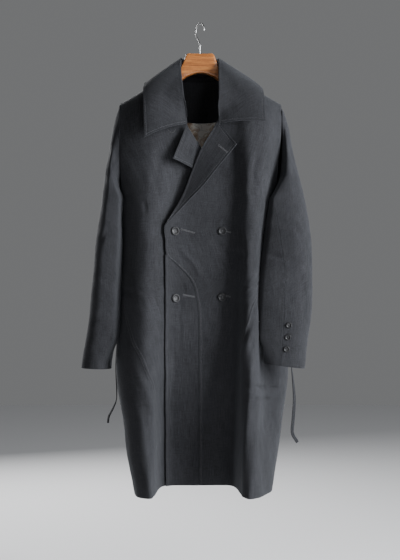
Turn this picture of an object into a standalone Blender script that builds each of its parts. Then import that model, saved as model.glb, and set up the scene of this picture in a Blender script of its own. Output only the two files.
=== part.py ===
"""A long double-breasted coat of charcoal cloth, hanging on a plain wooden hanger.

Metres, +Z up. The front faces -Y and the wearer's left side is at +X. The origin is the inner
top of the hanger's hook, where a rail holds it. Every panel is a wall whose outer points lie
on one body surface, so that neighbours share their points and their direction at each seam.
"""

import functools
import math

import bmesh
import bpy
import numpy as np
from mathutils import Matrix, Vector

# ------------------------------------------------------------------ driving sizes
CLOTH = 0.0020           # wall of a body or sleeve panel
DOUBLE = 0.0026          # wall of the collar and the lapels, two cloths and a canvas
THIN = 0.0012            # wall of the neck facing and of the lining
GAP = 0.0003             # space left between two pieces at a seam
SLIVER = 0.0030          # width of a lower panel where its seam leaves an edge
CHORD = 0.0024           # more space where a piece lies inside a curve of flat facets

NECK_SIDE = 0.062        # half width of the neckline at the shoulder seam
NECK_Z = -0.124          # shoulder seam at the neckline
SHOULDER_SLOPE = 0.578   # fall of the shoulder seam for each metre outwards
SHOULDER_ROUND = 0.090   # height over which the shoulder rounds from its seam to full depth
ARMHOLE_TOP = -0.209     # row that ends at the shoulder tips
UNDERARM_Z = -0.460
HEM_Z = -1.2213
HEM_RISE = 0.012         # the hem lies higher in the sunken middle of the front
HEM_MIDDLE = {"right": -0.103, "left": 0.099, "ease": 0.012}

BUTTON_R = 0.011         # 22 mm coat buttons
CUFF_BUTTON_R = 0.0078   # 15.6 mm sleeve buttons
BUTTON_LIFT = 0.0005     # the shank clears the cloth where the panel is hollow
CUFF_BUTTON_LIFT = -0.0005   # and comes nearer where flat facets cut across a round sleeve
TIE_WIDTH = 0.009
TIE_THICK = 0.0024

HOOK_WIRE_R = 0.00175
HOOK_R = 0.0190          # the hook's bend, to the middle of its wire
HOOK_TURN = math.radians(55)
HOOK_STEM = ((0.0, -0.0660), (0.0, -0.0560), (-0.0030, -0.0480), (-0.0085, -0.0400), (-0.0140, -0.0320))
WOOD_TOP = -0.0779
WOOD_THICK = 0.0125      # half thickness of the hanger at its middle
SEAT_FALL = 0.30         # fall of the arm's rounded top away from the shoulder seam

SIDES = {"right": -1.0, "left": 1.0}     # the wearer's right and left
FACES = {"front": -1.0, "back": 1.0}

# Body by height: half width to the wearer's right and left, reach of front and back from the
# middle plane, where each side seam lies in depth, and how square each front corner is.
BODY = (
    ("z", "right", "left", "front", "back", "seam_right", "seam_left", "square_right", "square_left"),
    (-0.1200, 0.2070, 0.2120, 0.072, 0.070, 0.000, 0.000, 2.6, 2.6),
    (-0.2067, 0.2070, 0.2120, 0.088, 0.090, 0.000, 0.000, 2.6, 2.6),
    (-0.2700, 0.2060, 0.2110, 0.095, 0.100, 0.000, 0.000, 2.6, 2.6),
    (-0.3600, 0.2050, 0.2060, 0.105, 0.108, 0.000, 0.000, 2.6, 2.6),
    (-0.4600, 0.2045, 0.1990, 0.115, 0.114, 0.002, 0.006, 2.6, 2.7),
    (-0.5300, 0.2055, 0.2050, 0.118, 0.118, 0.010, 0.022, 2.6, 2.7),
    (-0.6000, 0.2080, 0.2130, 0.120, 0.120, 0.020, 0.035, 2.7, 2.8),
    (-0.7500, 0.2130, 0.2250, 0.127, 0.124, 0.035, 0.050, 3.0, 2.8),
    (-0.9300, 0.2210, 0.2337, 0.131, 0.128, 0.050, 0.060, 3.4, 2.9),
    (-1.0370, 0.2040, 0.2190, 0.133, 0.130, 0.060, 0.058, 3.8, 3.0),
    (-1.1200, 0.1930, 0.2078, 0.134, 0.133, 0.075, 0.056, 4.2, 3.1),
    (-1.2213, 0.1740, 0.1919, 0.135, 0.135, 0.085, 0.055, 4.5, 3.2),
)

# The largest folds of the front: a sunken middle between two columns, and a groove where the
# wearer's left side falls back behind the sleeve. Each edge has a place and a half width.
FOLDS = (
    ("z", "sink", "right_x", "right_w", "left_x", "left_w", "groove_x", "groove_w", "groove"),
    (-0.2000, 0.000, -0.080, 0.040, 0.095, 0.030, 0.190, 0.015, 0.000),
    (-0.2700, 0.018, -0.085, 0.040, 0.100, 0.022, 0.192, 0.012, 0.018),
    (-0.3600, 0.040, -0.090, 0.035, 0.106, 0.018, 0.188, 0.014, 0.045),
    (-0.4600, 0.052, -0.092, 0.034, 0.107, 0.018, 0.180, 0.016, 0.080),
    (-0.6000, 0.062, -0.094, 0.034, 0.106, 0.017, 0.167, 0.018, 0.115),
    (-0.7500, 0.075, -0.098, 0.032, 0.104, 0.016, 0.162, 0.018, 0.120),
    (-0.9000, 0.095, -0.102, 0.026, 0.102, 0.014, 0.160, 0.018, 0.110),
    (-1.0000, 0.118, -0.104, 0.016, 0.100, 0.013, 0.162, 0.018, 0.090),
    (-1.1000, 0.140, -0.104, 0.013, 0.099, 0.012, 0.164, 0.018, 0.070),
    (-1.2213, 0.155, -0.1035, 0.012, 0.099, 0.012, 0.166, 0.018, 0.060),
)

# Cut lines on the front, x by height. An edge above its roll's start is the neckline.
TOP_EDGE = (
    ("z", "x"), (-0.124, 0.062), (-0.200, 0.0570), (-0.246, 0.0540), (-0.2634, 0.0431),
    (-0.2913, 0.0288), (-0.3295, 0.0051), (-0.3550, -0.0066), (-0.3907, -0.0209),
    (-0.4239, -0.0332), (-0.4622, -0.0495), (-0.5030, -0.0707), (-0.5285, -0.0885),
    (-0.5500, -0.0872), (-0.8000, -0.0872), (-1.2213, -0.0878),
)
UNDER_EDGE = (
    ("z", "x"), (-0.124, -0.062), (-0.200, -0.050), (-0.2723, -0.0343), (-0.3257, 0.0000),
    (-0.3600, 0.0220), (-0.4245, 0.0450), (-0.5020, 0.0660), (-0.5285, 0.0730),
    (-0.5500, 0.0715), (-1.2213, 0.0660),
)
# Seams that part a lower panel from its front; the first row is where the seam leaves an edge.
OVERLAP_SEAM = (
    ("z", "x"), (-0.6045, -0.0862), (-0.6200, -0.0705), (-0.6360, -0.0540), (-0.6526, -0.0375),
    (-0.6720, -0.0240), (-0.6910, -0.0160), (-0.7280, -0.0077), (-0.7568, -0.0055),
    (-0.8000, -0.0040), (-1.2213, -0.0040),
)
POCKET_SEAM_LEFT = (
    ("z", "x"), (-0.6045, 0.2130), (-0.6200, 0.2040), (-0.6526, 0.1850), (-0.6940, 0.1570),
    (-0.7339, 0.1349), (-0.8121, 0.1066), (-0.8630, 0.1000), (-1.2213, 0.0960),
)
POCKET_SEAM_RIGHT = (
    ("z", "x"), (-0.6910, -0.2105), (-0.7120, -0.2060), (-0.7568, -0.1930), (-0.8000, -0.1790),
    (-0.8336, -0.1663), (-0.8630, -0.1484), (-0.9012, -0.1307), (-0.9358, -0.1120),
    (-0.9900, -0.1050), (-1.2213, -0.1010),
)

# Rows of the body panels: shares of the way down the armhole, then heights below the underarm.
YOKE_ROWS = (0, 0.03, 0.08, 0.15, 0.24, 0.34, 0.45, 0.57, 0.70, 0.83, 0.94, 1)
SKIRT_ROWS = (
    -0.490, -0.5285, -0.565, -0.6045, -0.620, -0.636, -0.6526, -0.672, -0.691, -0.712, -0.7339,
    -0.7568, -0.780, -0.806, -0.8336, -0.863, -0.9012, -0.9358, -0.968, -1.005, -1.045, -1.085,
    -1.130, -1.175, HEM_Z,
)

# Sleeves: outer and inner line by height, then depth and half depth by share of the length.
SLEEVE_LINES = {
    "right": {
        "outer": (("z", "x"), (-0.2078, 0.2070), (-0.2300, 0.2150), (-0.2615, 0.2245),
                  (-0.3346, 0.2371), (-0.4182, 0.2507), (-0.5017, 0.2611), (-0.5853, 0.2747),
                  (-0.6688, 0.2799), (-0.7524, 0.2893), (-0.8359, 0.2997), (-0.8950, 0.3091)),
        "inner": (("z", "x"), (-0.4600, 0.2060), (-0.4800, 0.2150), (-0.5017, 0.2205),
                  (-0.5853, 0.2210), (-0.6688, 0.2220), (-0.7524, 0.2250), (-0.8359, 0.2266),
                  (-0.8980, 0.2270)),
        "depth": (("t", "y", "half"), (0.0, 0.000, 0.068), (0.25, -0.004, 0.080),
                  (0.50, -0.012, 0.074), (1.0, -0.020, 0.056)),
    },
    "left": {
        "outer": (("z", "x"), (-0.2107, 0.2120), (-0.2250, 0.2190), (-0.2445, 0.2245),
                  (-0.3376, 0.2432), (-0.4308, 0.2639), (-0.5239, 0.2816), (-0.6067, 0.2887),
                  (-0.6688, 0.2898), (-0.7102, 0.2887), (-0.7930, 0.2831), (-0.8463, 0.2753),
                  (-0.8950, 0.2690)),
        "inner": (("z", "x"), (-0.4600, 0.2000), (-0.4800, 0.1990), (-0.5100, 0.1930),
                  (-0.5450, 0.1850), (-0.5873, 0.1782), (-0.6892, 0.1701), (-0.7503, 0.1680),
                  (-0.8317, 0.1655), (-0.8815, 0.1619)),
        "depth": (("t", "y", "half"), (0.0, 0.006, 0.066), (0.15, -0.014, 0.062),
                  (0.30, -0.040, 0.050), (0.50, -0.062, 0.041), (1.0, -0.064, 0.037)),
    },
}
SLEEVE_ROWS = (0, 0.02, 0.05, 0.09, 0.14, 0.20, 0.26, 0.33, 0.40, 0.48, 0.56, 0.65, 0.74, 0.83,
               0.92, 1)
SLEEVE_CLEAR = 0.005     # least space between a hanging sleeve and the body
ARMHOLE_GAP = 0.0012     # space at the armhole seam, whose two edges are cut in unlike steps
# Angles of the two sleeve seams: 0 is the outer line, 90 the front, 180 the inner line.
ELBOW_SEAM = {"right": 252.0, "left": 100.0}
FRONT_SEAM = {"right": 140.0, "left": 262.0}
SLEEVE_COLUMNS = {"right": (11, 5), "left": (9, 7)}
CUFF_BUTTON_Z = (-0.7832, -0.8136, -0.8435)
CUFF_BUTTON_LEAD = 9.0   # degrees from the elbow seam to the buttons, towards the outer line

# The collar from the middle of the back round to its front end: the fold at the neck and the
# leaf's outer edge.
COLLAR = (
    ("fold_x", "fold_y", "fold_z", "edge_x", "edge_y", "edge_z"),
    (0.0000, 0.072, -0.0830, 0.000, 0.1080, -0.205),
    (0.0300, 0.062, -0.0830, 0.060, 0.1050, -0.207),
    (0.0480, 0.034, -0.0850, 0.117, 0.0700, -0.185),
    (0.0505, 0.002, -0.0885, 0.138, 0.0050, -0.160),
    (0.0515, -0.028, -0.1150, 0.140, -0.0560, -0.182),
    (0.0470, -0.066, -0.1650, 0.1405, -0.0900, -0.225),
    (0.0395, -0.084, -0.2250, 0.1395, -0.1060, -0.270),
    (0.0343, -0.094, -0.2723, 0.1384, -0.1150, -0.3115),
)
COLLAR_LEFT_END = (      # the wearer's left leaf is turned out wider and its end lies higher
    (0.0490, 0.002, -0.0885, 0.1500, 0.0050, -0.1660),
    (0.0500, -0.028, -0.1150, 0.1555, -0.0520, -0.1830),
    (0.0500, -0.066, -0.1650, 0.1595, -0.0860, -0.2080),
    (0.0505, -0.084, -0.2250, 0.1620, -0.1020, -0.2380),
    (0.0510, -0.094, -0.2710, 0.1637, -0.1130, -0.2710),
)
# Where the stand is sewn to the neckline, for the collar's rows from the back to the front. It
# runs out a little in front of the shoulder, where the fold comes down on the front.
NECK_SEAM = (("x", "z"), (0.0000, -0.1290), (0.0310, -0.1270), (0.0500, -0.1240),
             (0.0595, -0.1225), (0.0590, -0.1275))
COLLAR_SHOULDER = 3      # the row of the table that lies on the shoulder
COLLAR_BULGE = 0.010     # how far the leaf's middle stands out of a straight fall
COLLAR_CLEAR = 0.0085    # least space from the leaf's outside to the body
STAND_BELOW = 0.0056     # from the fold down to the top of the stand
STAND_INSIDE = 0.0012    # and from the fold in to the stand's outside

# Lapels from the top to the break point: roll line, outer edge, and how far the edge lifts.
LAPEL_LEFT = (
    ("share", "roll_x", "roll_z", "edge_x", "edge_z", "lift"),
    (0.00, 0.0440, -0.2620, 0.0920, -0.3247, 0.0075),
    (0.12, 0.0330, -0.2830, 0.0801, -0.3401, 0.0070),
    (0.36, 0.0040, -0.3310, 0.0450, -0.3821, 0.0060),
    (0.62, -0.0225, -0.3950, 0.0051, -0.4311, 0.0045),
    (0.82, -0.0470, -0.4570, -0.0329, -0.4700, 0.0030),
    (1.00, -0.0860, -0.5240, -0.0845, -0.5255, 0.0012),
)
LAPEL_RIGHT = (
    ("share", "roll_x", "roll_z", "edge_x", "edge_z", "lift"),
    (0.00, -0.0343, -0.2740, -0.0675, -0.3610, 0.0200),
    (0.14, -0.0180, -0.2990, -0.0410, -0.3720, 0.0090),
    (0.27, -0.0040, -0.3200, -0.0175, -0.3840, 0.0010),
    (0.45, 0.0160, -0.3550, 0.0100, -0.4100, 0.0002),
    (0.70, 0.0400, -0.4230, 0.0350, -0.4520, 0.0000),
    (1.00, 0.0690, -0.5200, 0.0680, -0.5220, 0.0000),
)

# The two coat layers: how far the under layer lies behind the top one, by height.
LAYER = (("z", "behind"), (-0.20, 0.0120), (-0.50, 0.0105), (-0.60, 0.0074), (-1.2213, 0.0070))
LAYER_FADE = 0.050       # width of the strip in which the under layer comes level
LAYER_EARLY = 0.009      # space from that strip to the top layer's edge
LAPEL_BASE = {"left": 0.0020, "right": 0.0054}     # space from each front to its lapel

FRONT_BUTTONS = ((-0.0633, -0.5432), (0.0574, -0.5432), (-0.0619, -0.7152), (0.0567, -0.7126))

# Ties: routes of the middle of each strip from where it is sewn to the back, and how far each
# strip is turned from facing the front, by share of its length. At its top it lies on the cloth.
TIE_ROUTES = {
    "right": ((-0.1979, 0.0702, -0.620), (-0.2018, 0.0708, -0.650), (-0.2072, 0.0765, -0.720),
              (-0.2186, 0.0775, -0.820), (-0.2245, 0.0820, -0.900), (-0.2235, 0.0850, -0.980),
              (-0.2320, 0.0850, -1.010), (-0.2440, 0.0820, -1.034), (-0.2465, 0.0800, -1.052)),
    "left": ((0.2107, 0.0706, -0.620), (0.2158, 0.0711, -0.650), (0.2243, 0.0714, -0.720),
             (0.2347, 0.0710, -0.820), (0.2440, 0.0650, -0.900), (0.2510, 0.0580, -0.980),
             (0.2475, 0.0540, -1.040), (0.2455, 0.0520, -1.075), (0.2590, 0.0500, -1.100)),
}
TIE_TURNS = {
    "right": (("share", "degrees"), (0.0, 123), (0.5, 105), (0.75, 70), (1.0, 60)),
    "left": (("share", "degrees"), (0.0, 116), (0.45, 100), (0.62, 40), (1.0, 25)),
}

# Neck facing and lining inside the back: half widths, top and bottom at the middle.
FACING = {"half": 0.078, "top": -0.140, "bottom": -0.2468, "rise": 1.9}
LINING = {"half": 0.098, "bottom": -0.400, "below": 0.0009}
FACING_DEPTH = CLOTH + GAP + CHORD
LINING_DEPTH = FACING_DEPTH - 0.0009

# Hanger arm: distance from the middle, height of its top and bottom, half thickness.
WOOD = (
    ("x", "top", "bottom", "half"),
    (0.0000, WOOD_TOP, -0.1293, WOOD_THICK),
    (0.0160, WOOD_TOP, -0.1315, WOOD_THICK),
    (0.0340, -0.0790, -0.1385, WOOD_THICK),
    (0.0500, -0.1130, -0.1500, WOOD_THICK),
    (0.0545, -0.1330, -0.1560, WOOD_THICK),
    (0.0600, -0.1400, -0.1620, 0.0125),
    (0.0720, -0.1440, -0.1690, 0.0130),
    (0.1000, -0.1492, -0.1820, 0.0150),
    (0.1400, -0.1722, -0.2020, 0.0180),
    (0.1750, -0.1924, -0.2180, 0.0200),
    (0.1920, -0.2035, -0.2225, 0.0190),
)
WOOD_STATIONS = (0.042, 0.086, 0.120, 0.158)     # sections between the rows of the table
WOOD_SQUARE = 0.45       # power that squares the bar's section


# ------------------------------------------------------------------ reading the tables
def smooth(at, knots, values):
    """Read a smooth curve (cubic Hermite) through the given rows, held level past its ends."""
    order = np.argsort(knots)
    knots = np.asarray(knots, float)[order]
    values = np.asarray(values, float)[order]
    slope = np.gradient(values, knots)
    at = np.clip(at, knots[0], knots[-1])
    i = np.clip(np.searchsorted(knots, at, side="right") - 1, 0, len(knots) - 2)
    span = knots[i + 1] - knots[i]
    t = (at - knots[i]) / span
    start = (1 + 2 * t) * (1 - t) ** 2 * values[i] + t * (1 - t) ** 2 * span * slope[i]
    end = t * t * (3 - 2 * t) * values[i + 1] + t * t * (t - 1) * span * slope[i + 1]
    return start + end


def read(table, name, at):
    """Value of a named column at a place given in the table's first column."""
    place = table[0].index(name)
    return smooth(at, [row[0] for row in table[1:]], [row[place] for row in table[1:]])


def straight(table, at):
    """Second column of a cut line, straight between its points."""
    rows = sorted(table[1:])
    return np.interp(at, [row[0] for row in rows], [row[1] for row in rows])


def step(value):
    """Soft step from 0 to 1, half way at 0, nearly done at 1."""
    return 1 / (1 + np.exp(-2.2 * value))


# ------------------------------------------------------------------ the body surface
def shoulder_z(x):
    """Height of the shoulder seam's line, rounded across the neck."""
    return NECK_Z - (np.sqrt(x * x + 0.01 ** 2) - NECK_SIDE) * SHOULDER_SLOPE


def by_side(table, name, x, z):
    """A column that has one value for each side of the body."""
    return np.where(x < 0, read(table, name + "_right", z), read(table, name + "_left", z))


def body_y(x, z, face):
    """Depth of the front or back surface of the body at x and z."""
    half = np.where(x < 0, read(BODY, "right", z), read(BODY, "left", z))
    square = by_side(BODY, "square", x, z)
    seam = by_side(BODY, "seam", x, z)
    # Above the underarm the surface stops at the armhole while it still has some depth.
    tip = shoulder_z(half)
    down = np.clip((tip - z) / (tip - UNDERARM_Z), 0, 1)
    open_share = 0.72 * np.sqrt(1 - down ** 3)
    full = half / (1 - open_share ** square) ** (1 / square)
    across = (1 - np.clip(np.abs(x) / full, 0, 1) ** square) ** (1 / square)
    drop = np.clip((shoulder_z(x) - z) / SHOULDER_ROUND, 0, 1)
    ridge = np.sqrt(1 - (1 - drop) ** 2)
    if face == "back":
        return seam + (read(BODY, "back", z) - seam) * across * ridge + GAP / 2
    sunk = read(FOLDS, "sink", z)
    sunk = sunk * step((x - read(FOLDS, "right_x", z)) / read(FOLDS, "right_w", z))
    sunk = sunk * step((read(FOLDS, "left_x", z) - x) / read(FOLDS, "left_w", z))
    groove = read(FOLDS, "groove", z)
    groove = groove * step((x - read(FOLDS, "groove_x", z)) / read(FOLDS, "groove_w", z))
    reach = read(BODY, "front", z) + seam - sunk - groove
    return seam - reach * across * ridge - GAP / 2


def armhole_level(share):
    """Row level a share of the way down the armhole."""
    return ARMHOLE_TOP + (UNDERARM_Z - ARMHOLE_TOP) * share


@functools.lru_cache(maxsize=None)
def row(level, face, points=640):
    """One row of the body surface from the wearer's right side to the left, and its lengths."""
    share = np.sin(np.linspace(-math.pi / 2, math.pi / 2, points))
    right, left = float(read(BODY, "right", level)), float(read(BODY, "left", level))
    x = (left - right) / 2 + (left + right) / 2 * share
    if level > UNDERARM_Z:
        down = (level - ARMHOLE_TOP) / (UNDERARM_Z - ARMHOLE_TOP)
        top = shoulder_z(x)
        if face == "back":
            top = np.minimum(top, NECK_Z - 0.006 * (1 - (x / NECK_SIDE) ** 2))
        z = top * (1 - down) + UNDERARM_Z * down
    else:
        low = (UNDERARM_Z - level) / (UNDERARM_Z - HEM_Z)
        middle = (step((x - HEM_MIDDLE["right"]) / HEM_MIDDLE["ease"])
                  * step((HEM_MIDDLE["left"] - x) / HEM_MIDDLE["ease"]))
        z = level + HEM_RISE * middle * low ** 3 * (face == "front")
    y = body_y(x, z, face)
    points_on = np.stack([x, y, z], axis=1)
    length = np.concatenate([[0], np.cumsum(np.linalg.norm(np.diff(points_on, axis=0), axis=1))])
    return points_on, length


def along(level, face, share):
    """Points at shares of a row's length."""
    points_on, length = row(level, face)
    at = np.asarray(share) * length[-1]
    return np.stack([np.interp(at, length, points_on[:, k]) for k in range(3)], axis=-1)


def outward(level, face, share):
    """Directions straight out of the body surface at shares of a row's length."""
    reach = 0.004
    low, high = np.clip(share - reach, 0, 1), np.clip(share + reach, 0, 1)
    across = along(level, face, high) - along(level, face, low)
    upper = min(level + 0.003, ARMHOLE_TOP)
    down = along(level - 0.003, face, share) - along(upper, face, share)
    out = np.cross(across, down) * FACES[face]
    # Where the two faces meet, at the side seams and the shoulder seam, they share a direction.
    if level <= UNDERARM_Z:
        out[share < 0.002, 1] = 0
        out[share > 0.998, 1] = 0
    elif level == ARMHOLE_TOP:
        out[:, 1] = 0
    return out / np.linalg.norm(out, axis=-1, keepdims=True)


def levels_between(top, bottom):
    """Row levels from top to bottom, shared by every panel."""
    levels = [armhole_level(share) for share in YOKE_ROWS] + list(SKIRT_ROWS)
    return [level for level in levels if bottom - 1e-6 <= level <= top + 1e-6]


def crossing(points_on, length, cut):
    """Length along a row at which it meets a cut line."""
    over = points_on[:, 0] - straight(cut, points_on[:, 2])
    k = int(np.argmax(over > 0))
    share = -over[k - 1] / (over[k] - over[k - 1])
    return length[k - 1] + share * (length[k] - length[k - 1])


def seam_length(level, points_on, length, seam, edge, inward):
    """Length along a row at which a seam lies; it leaves the given edge at its first row."""
    start = seam[1][0]
    if level > start + 1e-6:
        return edge
    if level > start - 1e-6:
        return edge + inward * SLIVER
    return crossing(points_on, length, seam)


# ------------------------------------------------------------------ making solids
def finish(name, colour, roughness, metallic=0.0):
    """A plain material with a part's colour."""
    material = bpy.data.materials.new(name)
    material.use_nodes = True
    shader = material.node_tree.nodes["Principled BSDF"]
    shader.inputs["Base Color"].default_value = (*colour, 1)
    shader.inputs["Roughness"].default_value = roughness
    shader.inputs["Metallic"].default_value = metallic
    return material


def keep(name, mesh, material):
    """Link a finished mesh as one named piece of the coat."""
    piece = bpy.data.objects.new(name, mesh)
    piece.data.materials.append(material)
    bpy.data.collections["coat"].objects.link(piece)
    return piece


def wall(name, outer, inner, material):
    """A closed wall of cloth from a grid of outer points and one of inner points."""
    rows, columns = outer.shape[0] - 1, outer.shape[1] - 1
    bm = bmesh.new()
    bmesh.ops.create_grid(bm, x_segments=columns, y_segments=rows, size=1.0)
    place = bm.verts.layers.int.new("place")
    for vert in bm.verts:
        column = round((vert.co.x + 1) / 2 * columns)
        line = round((vert.co.y + 1) / 2 * rows)
        vert[place] = line * (columns + 1) + column
    whole = bm.verts[:] + bm.edges[:] + bm.faces[:]
    copied = bmesh.ops.extrude_face_region(bm, geom=whole, use_keep_orig=True)["geom"]
    copied = {part for part in copied if isinstance(part, bmesh.types.BMVert)}
    for vert in bm.verts:
        points = inner if vert in copied else outer
        vert.co = Vector(points.reshape(-1, 3)[vert[place]])
    # Rims are parted along the same diagonal on every piece, so two facing rims stay parallel.
    for face in bm.faces[:]:
        outside = [vert for vert in face.verts if vert not in copied]
        inside = [vert for vert in face.verts if vert in copied]
        if len(outside) == len(inside) == 2:
            first = min(outside, key=lambda vert: vert[place])
            last = max(inside, key=lambda vert: vert[place])
            bmesh.utils.face_split(face, first, last)
    bmesh.ops.recalc_face_normals(bm, faces=bm.faces[:])
    if bm.calc_volume(signed=True) < 0:
        bmesh.ops.reverse_faces(bm, faces=bm.faces[:])
    mesh = bpy.data.meshes.new(name)
    bm.to_mesh(mesh)
    bm.free()
    mesh.shade_smooth()
    mesh.set_sharp_from_angle(angle=math.radians(50))
    return keep(name, mesh, material)


def grid_out(points, hint):
    """Directions out of a grid of points, on the side that a hint direction gives."""
    across = np.gradient(points, axis=1)
    down = np.gradient(points, axis=0)
    out = np.cross(across, down)
    out = out / np.maximum(np.linalg.norm(out, axis=-1, keepdims=True), 1e-12)
    side = np.sum(out * np.asarray(hint), axis=-1, keepdims=True)
    return out * np.where(side < 0, -1.0, 1.0)


# ------------------------------------------------------------------ the body panels
def behind(points_on):
    """How far the under layer lies behind the body surface at its points."""
    depth = read(LAYER, "behind", points_on[..., 2])
    past = points_on[..., 0] - straight(TOP_EDGE, points_on[..., 2]) + LAYER_FADE + LAYER_EARLY
    share = np.clip(past / LAYER_FADE, 0, 1)
    return depth * share * share * (3 - 2 * share)


def panel(name, face, levels, limits, columns, material, under=False):
    """One body panel; limits gives the lengths along a row between which it lies."""
    ends = np.array([limits(level, *row(level, face)) for level in levels])
    # The space at a seam is square to the seam, so it is longer along a row that it crosses aslant.
    aslant = GAP / 2 * np.sqrt(1 + np.gradient(ends, np.array(levels), axis=0) ** 2)
    outer, inner = [], []
    for level, (first, last), (space_first, space_last) in zip(levels, ends, aslant):
        total = row(level, face)[1][-1]
        at = np.linspace(first + space_first, last - space_last, columns + 1) / total
        skin = along(level, face, at)
        out = outward(level, face, at)
        if under:
            skin = skin - out * behind(skin)[:, None]
        outer.append(skin)
        inner.append(skin - out * CLOTH)
    return wall(name, np.array(outer), np.array(inner), material)


def body_panels(cloth):
    """The fronts with their seamed-on lower panels, and the back."""
    def edge_of_top(level, on, length):
        return crossing(on, length, TOP_EDGE)

    def overlap_seam(level, on, length):
        return seam_length(level, on, length, OVERLAP_SEAM, crossing(on, length, TOP_EDGE), 1)

    def pocket_left(level, on, length):
        return seam_length(level, on, length, POCKET_SEAM_LEFT, length[-1], -1)

    def pocket_right(level, on, length):
        return seam_length(level, on, length, POCKET_SEAM_RIGHT, 0.0, 1)

    everything = levels_between(0, HEM_Z)
    panel("front_left", "front", everything,
          lambda *row_of: (overlap_seam(*row_of), pocket_left(*row_of)), 14, cloth)
    panel("overlap_left", "front", levels_between(OVERLAP_SEAM[1][0], HEM_Z),
          lambda *row_of: (edge_of_top(*row_of), overlap_seam(*row_of)), 5, cloth)
    panel("side_left", "front", levels_between(POCKET_SEAM_LEFT[1][0], HEM_Z),
          lambda *row_of: (pocket_left(*row_of), row_of[2][-1]), 9, cloth)
    panel("front_right", "front", everything,
          lambda *row_of: (pocket_right(*row_of), crossing(row_of[1], row_of[2], UNDER_EDGE)),
          17, cloth, under=True)
    panel("side_right", "front", levels_between(POCKET_SEAM_RIGHT[1][0], HEM_Z),
          lambda *row_of: (0.0, pocket_right(*row_of)), 7, cloth, under=True)
    panel("back", "back", everything, lambda level, on, length: (0.0, length[-1]), 17, cloth)


# ------------------------------------------------------------------ sleeves
def armhole(side, angle):
    """Edge point of the armhole at an angle round it, and the body's direction there."""
    turn = angle % 360
    face = "front" if turn <= 180 else "back"
    share = turn / 180 if turn <= 180 else (360 - turn) / 180
    end = np.array([0.0 if side == "right" else 1.0])
    level = armhole_level(share)
    return along(level, face, end)[0], outward(level, face, end)[0]


def sleeve_ring(side, share, angle):
    """Point of the sleeve's surface, before it is fitted to the armhole."""
    lines = SLEEVE_LINES[side]
    outer_z = ARMHOLE_TOP + (lines["outer"][-1][0] - ARMHOLE_TOP) * share
    inner_z = UNDERARM_Z + (lines["inner"][-1][0] - UNDERARM_Z) * share
    outer = np.array([read(lines["outer"], "x", outer_z), outer_z])
    inner = np.array([read(lines["inner"], "x", inner_z), inner_z])
    half_depth = read(lines["depth"], "half", share)
    turn = math.radians(angle)
    middle, reach = (outer + inner) / 2, (outer - inner) / 2
    flat = middle + reach * math.copysign(abs(math.cos(turn)) ** 0.9, math.cos(turn))
    y = read(lines["depth"], "y", share)
    y = y - half_depth * math.copysign(abs(math.sin(turn)) ** 0.9, math.sin(turn))
    return np.array([SIDES[side] * flat[0], float(y), flat[1]])


def off_the_body(side, point, space):
    """Move a point of the sleeve until it clears the body's side by a given space."""
    half = float(read(BODY, side, point[2]))
    if point[2] > UNDERARM_Z:
        point[0] = SIDES[side] * max(abs(point[0]), half + space)
        return point
    level = round(float(point[2]), 3)
    ring = np.concatenate([row(level, "front")[0], row(level, "back")[0]])[:, :2]
    away = point[:2] - ring
    nearest = int(np.argmin(np.linalg.norm(away, axis=1)))
    distance = float(np.linalg.norm(away[nearest]))
    inside = abs(point[0]) < half and (float(body_y(point[0], level, "front")) < point[1]
                                       < float(body_y(point[0], level, "back")))
    if inside or distance < space:
        direction = away[nearest] / max(distance, 1e-9) * (-1 if inside else 1)
        point[:2] = ring[nearest] + direction * space
    return point


def sleeve_point(side, share, angle):
    """Point of the sleeve's surface: the armhole's edge eases into the hanging tube."""
    point = sleeve_ring(side, share, angle)
    fade = max(0.0, 1 - share / 0.24) ** 2
    if fade > 0:
        edge = armhole(side, angle)[0] + np.array([SIDES[side] * ARMHOLE_GAP, 0, 0])
        point = point + (edge - sleeve_ring(side, 0.0, angle)) * fade
    if share == 0:
        return point
    return off_the_body(side, point, ARMHOLE_GAP + (SLEEVE_CLEAR - ARMHOLE_GAP) * min(share / 0.09, 1))


def sleeve_panels(side, first_seam, second_seam, counts):
    """Outer and inner points of a sleeve's two panels, which share their directions."""
    first, second = first_seam, second_seam
    angles = np.concatenate([np.linspace(first - 360, second, counts[0] + 1),
                             np.linspace(second, first, counts[1] + 1)[1:]])
    skin = np.array([[sleeve_point(side, share, a) for a in angles] for share in SLEEVE_ROWS])
    looped = np.concatenate([skin[:, -2:-1], skin, skin[:, 1:2]], axis=1)
    around = looped[:, 2:] - looped[:, :-2]
    down = np.gradient(skin, axis=0)
    out = np.cross(around, down) * SIDES[side]
    out = out / np.linalg.norm(out, axis=-1, keepdims=True)
    for k, angle in enumerate(angles):
        limit = armhole(side, angle)[1][0] * SIDES[side]
        out[0, k, 0] = SIDES[side] * min(out[0, k, 0] * SIDES[side], limit)
    out = out / np.linalg.norm(out, axis=-1, keepdims=True)
    around = around / np.linalg.norm(around, axis=-1, keepdims=True)
    panels = []
    for start, end in ((0, counts[0]), (counts[0], sum(counts))):
        part, tangent, away = skin[:, start:end + 1].copy(), around[:, start:end + 1], out[:, start:end + 1]
        part[:, 0] += tangent[:, 0] * GAP / 2
        part[:, -1] -= tangent[:, -1] * GAP / 2
        panels.append((part, part - away * CLOTH))
    return panels


def sleeves(cloth):
    """Two-piece sleeves, each an upper and an under panel."""
    for side, counts in SLEEVE_COLUMNS.items():
        seams = sorted((ELBOW_SEAM[side], FRONT_SEAM[side]), reverse=True)
        top, under = sleeve_panels(side, *seams, counts)
        wall(f"sleeve_{side}_top", *top, cloth)
        wall(f"sleeve_{side}_under", *under, cloth)


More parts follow.
